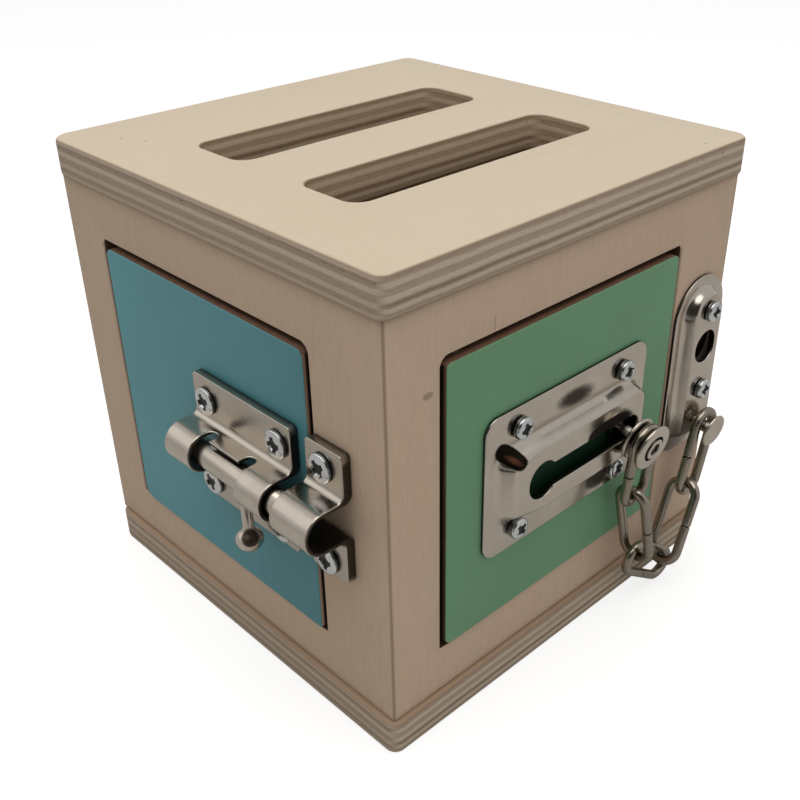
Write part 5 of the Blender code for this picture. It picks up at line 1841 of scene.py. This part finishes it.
def reflection_card(name, middle, facing, wide, high, level, soft=0.4,
                    tint=(1.0, 0.95, 0.88)):
    """A card that only shows in reflections: dark or bright, it lights nothing."""
    mesh = rectangle(name, wide / 2, high / 2)
    mesh.uv_layers.new(name="card").data.foreach_set("uv", (-1, -1, 1, -1, 1, 1, -1, 1))
    turn_to = (Vector(facing) - Vector(middle)).to_track_quat("Z", "Y").to_matrix().to_4x4()
    mesh.transform(Matrix.Translation(middle) @ turn_to)
    obj = new_object(name, mesh)
    made, t, shader = material(name)
    t.tree.nodes.remove(shader)
    glow = t.add("ShaderNodeEmission", {"Color": tinted(tint, level)})
    across = t.parts(t.add("ShaderNodeUVMap", uv_map="card").outputs[0])
    mask = t.times(*(t.spread(t.absolute(across[way]), 1 - soft, 1.0, 1.0, 0.0, smooth=True)
                     for way in ("X", "Y")))
    clear = t.add("ShaderNodeBsdfTransparent")
    card = t.add("ShaderNodeMixShader", {0: mask, 1: clear.outputs[0], 2: glow.outputs[0]})
    put_surface(mesh, made, card)
    for kind in ("camera", "diffuse", "transmission", "volume_scatter", "shadow"):
        setattr(obj, "visible_" + kind, False)


class LATCHBOX_OT_stage(PieceOperator, bpy.types.Operator):
    """Builds the floor, the soft light and the camera"""
    bl_idname = "latchbox.stage"
    bl_label = "Stage"

    def build(self, settings, p, looks):
        stage = settings.stage
        floor_piece(stage.mirror)
        room_light(stage.sky, stage.mirror)
        soft_lamp("lamp_overhead", (-0.10, -0.05, 1.0), (0, 0, 0.1), 1.1, stage.lamp,
                  (1.0, 0.975, 0.94))
        front = soft_lamp("lamp_front", (-0.5, -1.15, 0.55), (0, 0, 0.07), 0.9, stage.fill,
                          (1.0, 0.97, 0.93))
        front.visible_glossy = False
        reflection_card("card_room", (-0.34, -0.36, 0.40), (0, 0, 0.40), 0.95, 0.80, 0.03)
        reflection_card("card_window", (-0.54, 0.62, 0.58), (-0.08, 0, 0.08), 0.80, 0.75, 0.95,
                        tint=(1.0, 0.98, 0.95))
        reflection_card("card_front", (-0.30, -0.31, 0.0004), (-0.30, -0.31, 1), 0.42, 0.42,
                        0.035)
        reflection_card("card_mat", (0.0, 0.0, 0.0003), (0, 0, 1), 0.20, 0.20, 0.10)
        data = bpy.data.cameras.new("camera")
        data.lens, data.sensor_width = stage.lens, 36.0
        data.shift_x, data.shift_y = stage.shift
        data.clip_start, data.clip_end = 0.01, 20.0
        camera = new_object("camera", data)
        aim, rise = Vector(stage.aim).normalized(), Vector(stage.rise).normalized()
        turn_to = Matrix((aim.cross(rise).normalized(), rise, -aim)).transposed()
        camera.matrix_world = Matrix.Translation(stage.place) @ turn_to.to_4x4()
        bpy.context.scene.camera = camera
        bpy.context.scene.view_settings.view_transform = "Standard"


OPERATORS = (LATCHBOX_OT_plates, LATCHBOX_OT_walls, LATCHBOX_OT_doors, LATCHBOX_OT_bolt,
             LATCHBOX_OT_track, LATCHBOX_OT_anchor, LATCHBOX_OT_chain, LATCHBOX_OT_screws,
             LATCHBOX_OT_stage)


class LATCHBOX_PT_panel(bpy.types.Panel):
    """Sizes, colours and builders of the latch box"""
    bl_idname = "LATCHBOX_PT_panel"
    bl_label = "Latch box"
    bl_space_type = "VIEW_3D"
    bl_region_type = "UI"
    bl_category = "Latch box"

    def draw(self, context):
        layout = self.layout
        settings = context.scene.latch_box
        for group in GROUPS:
            part = getattr(settings, group)
            column = layout.box().column(align=True)
            column.label(text=group.capitalize())
            for name in part.__annotations__:
                column.prop(part, name)
        for operator in OPERATORS:
            layout.operator(operator.bl_idname)


CLASSES = (*GROUPS.values(), LatchBoxSettings, *OPERATORS, LATCHBOX_PT_panel)


def register():
    for item in CLASSES:
        bpy.utils.register_class(item)
    bpy.types.Scene.latch_box = PointerProperty(
        type=LatchBoxSettings, name="Latch box", description="Sizes and colours")


def unregister():
    del bpy.types.Scene.latch_box
    for item in reversed(CLASSES):
        bpy.utils.unregister_class(item)


def main():
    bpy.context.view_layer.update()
    register()
    for operator in OPERATORS:
        family, name = operator.bl_idname.split(".")
        getattr(getattr(bpy.ops, family), name)()


if __name__ == "__main__":
    main()
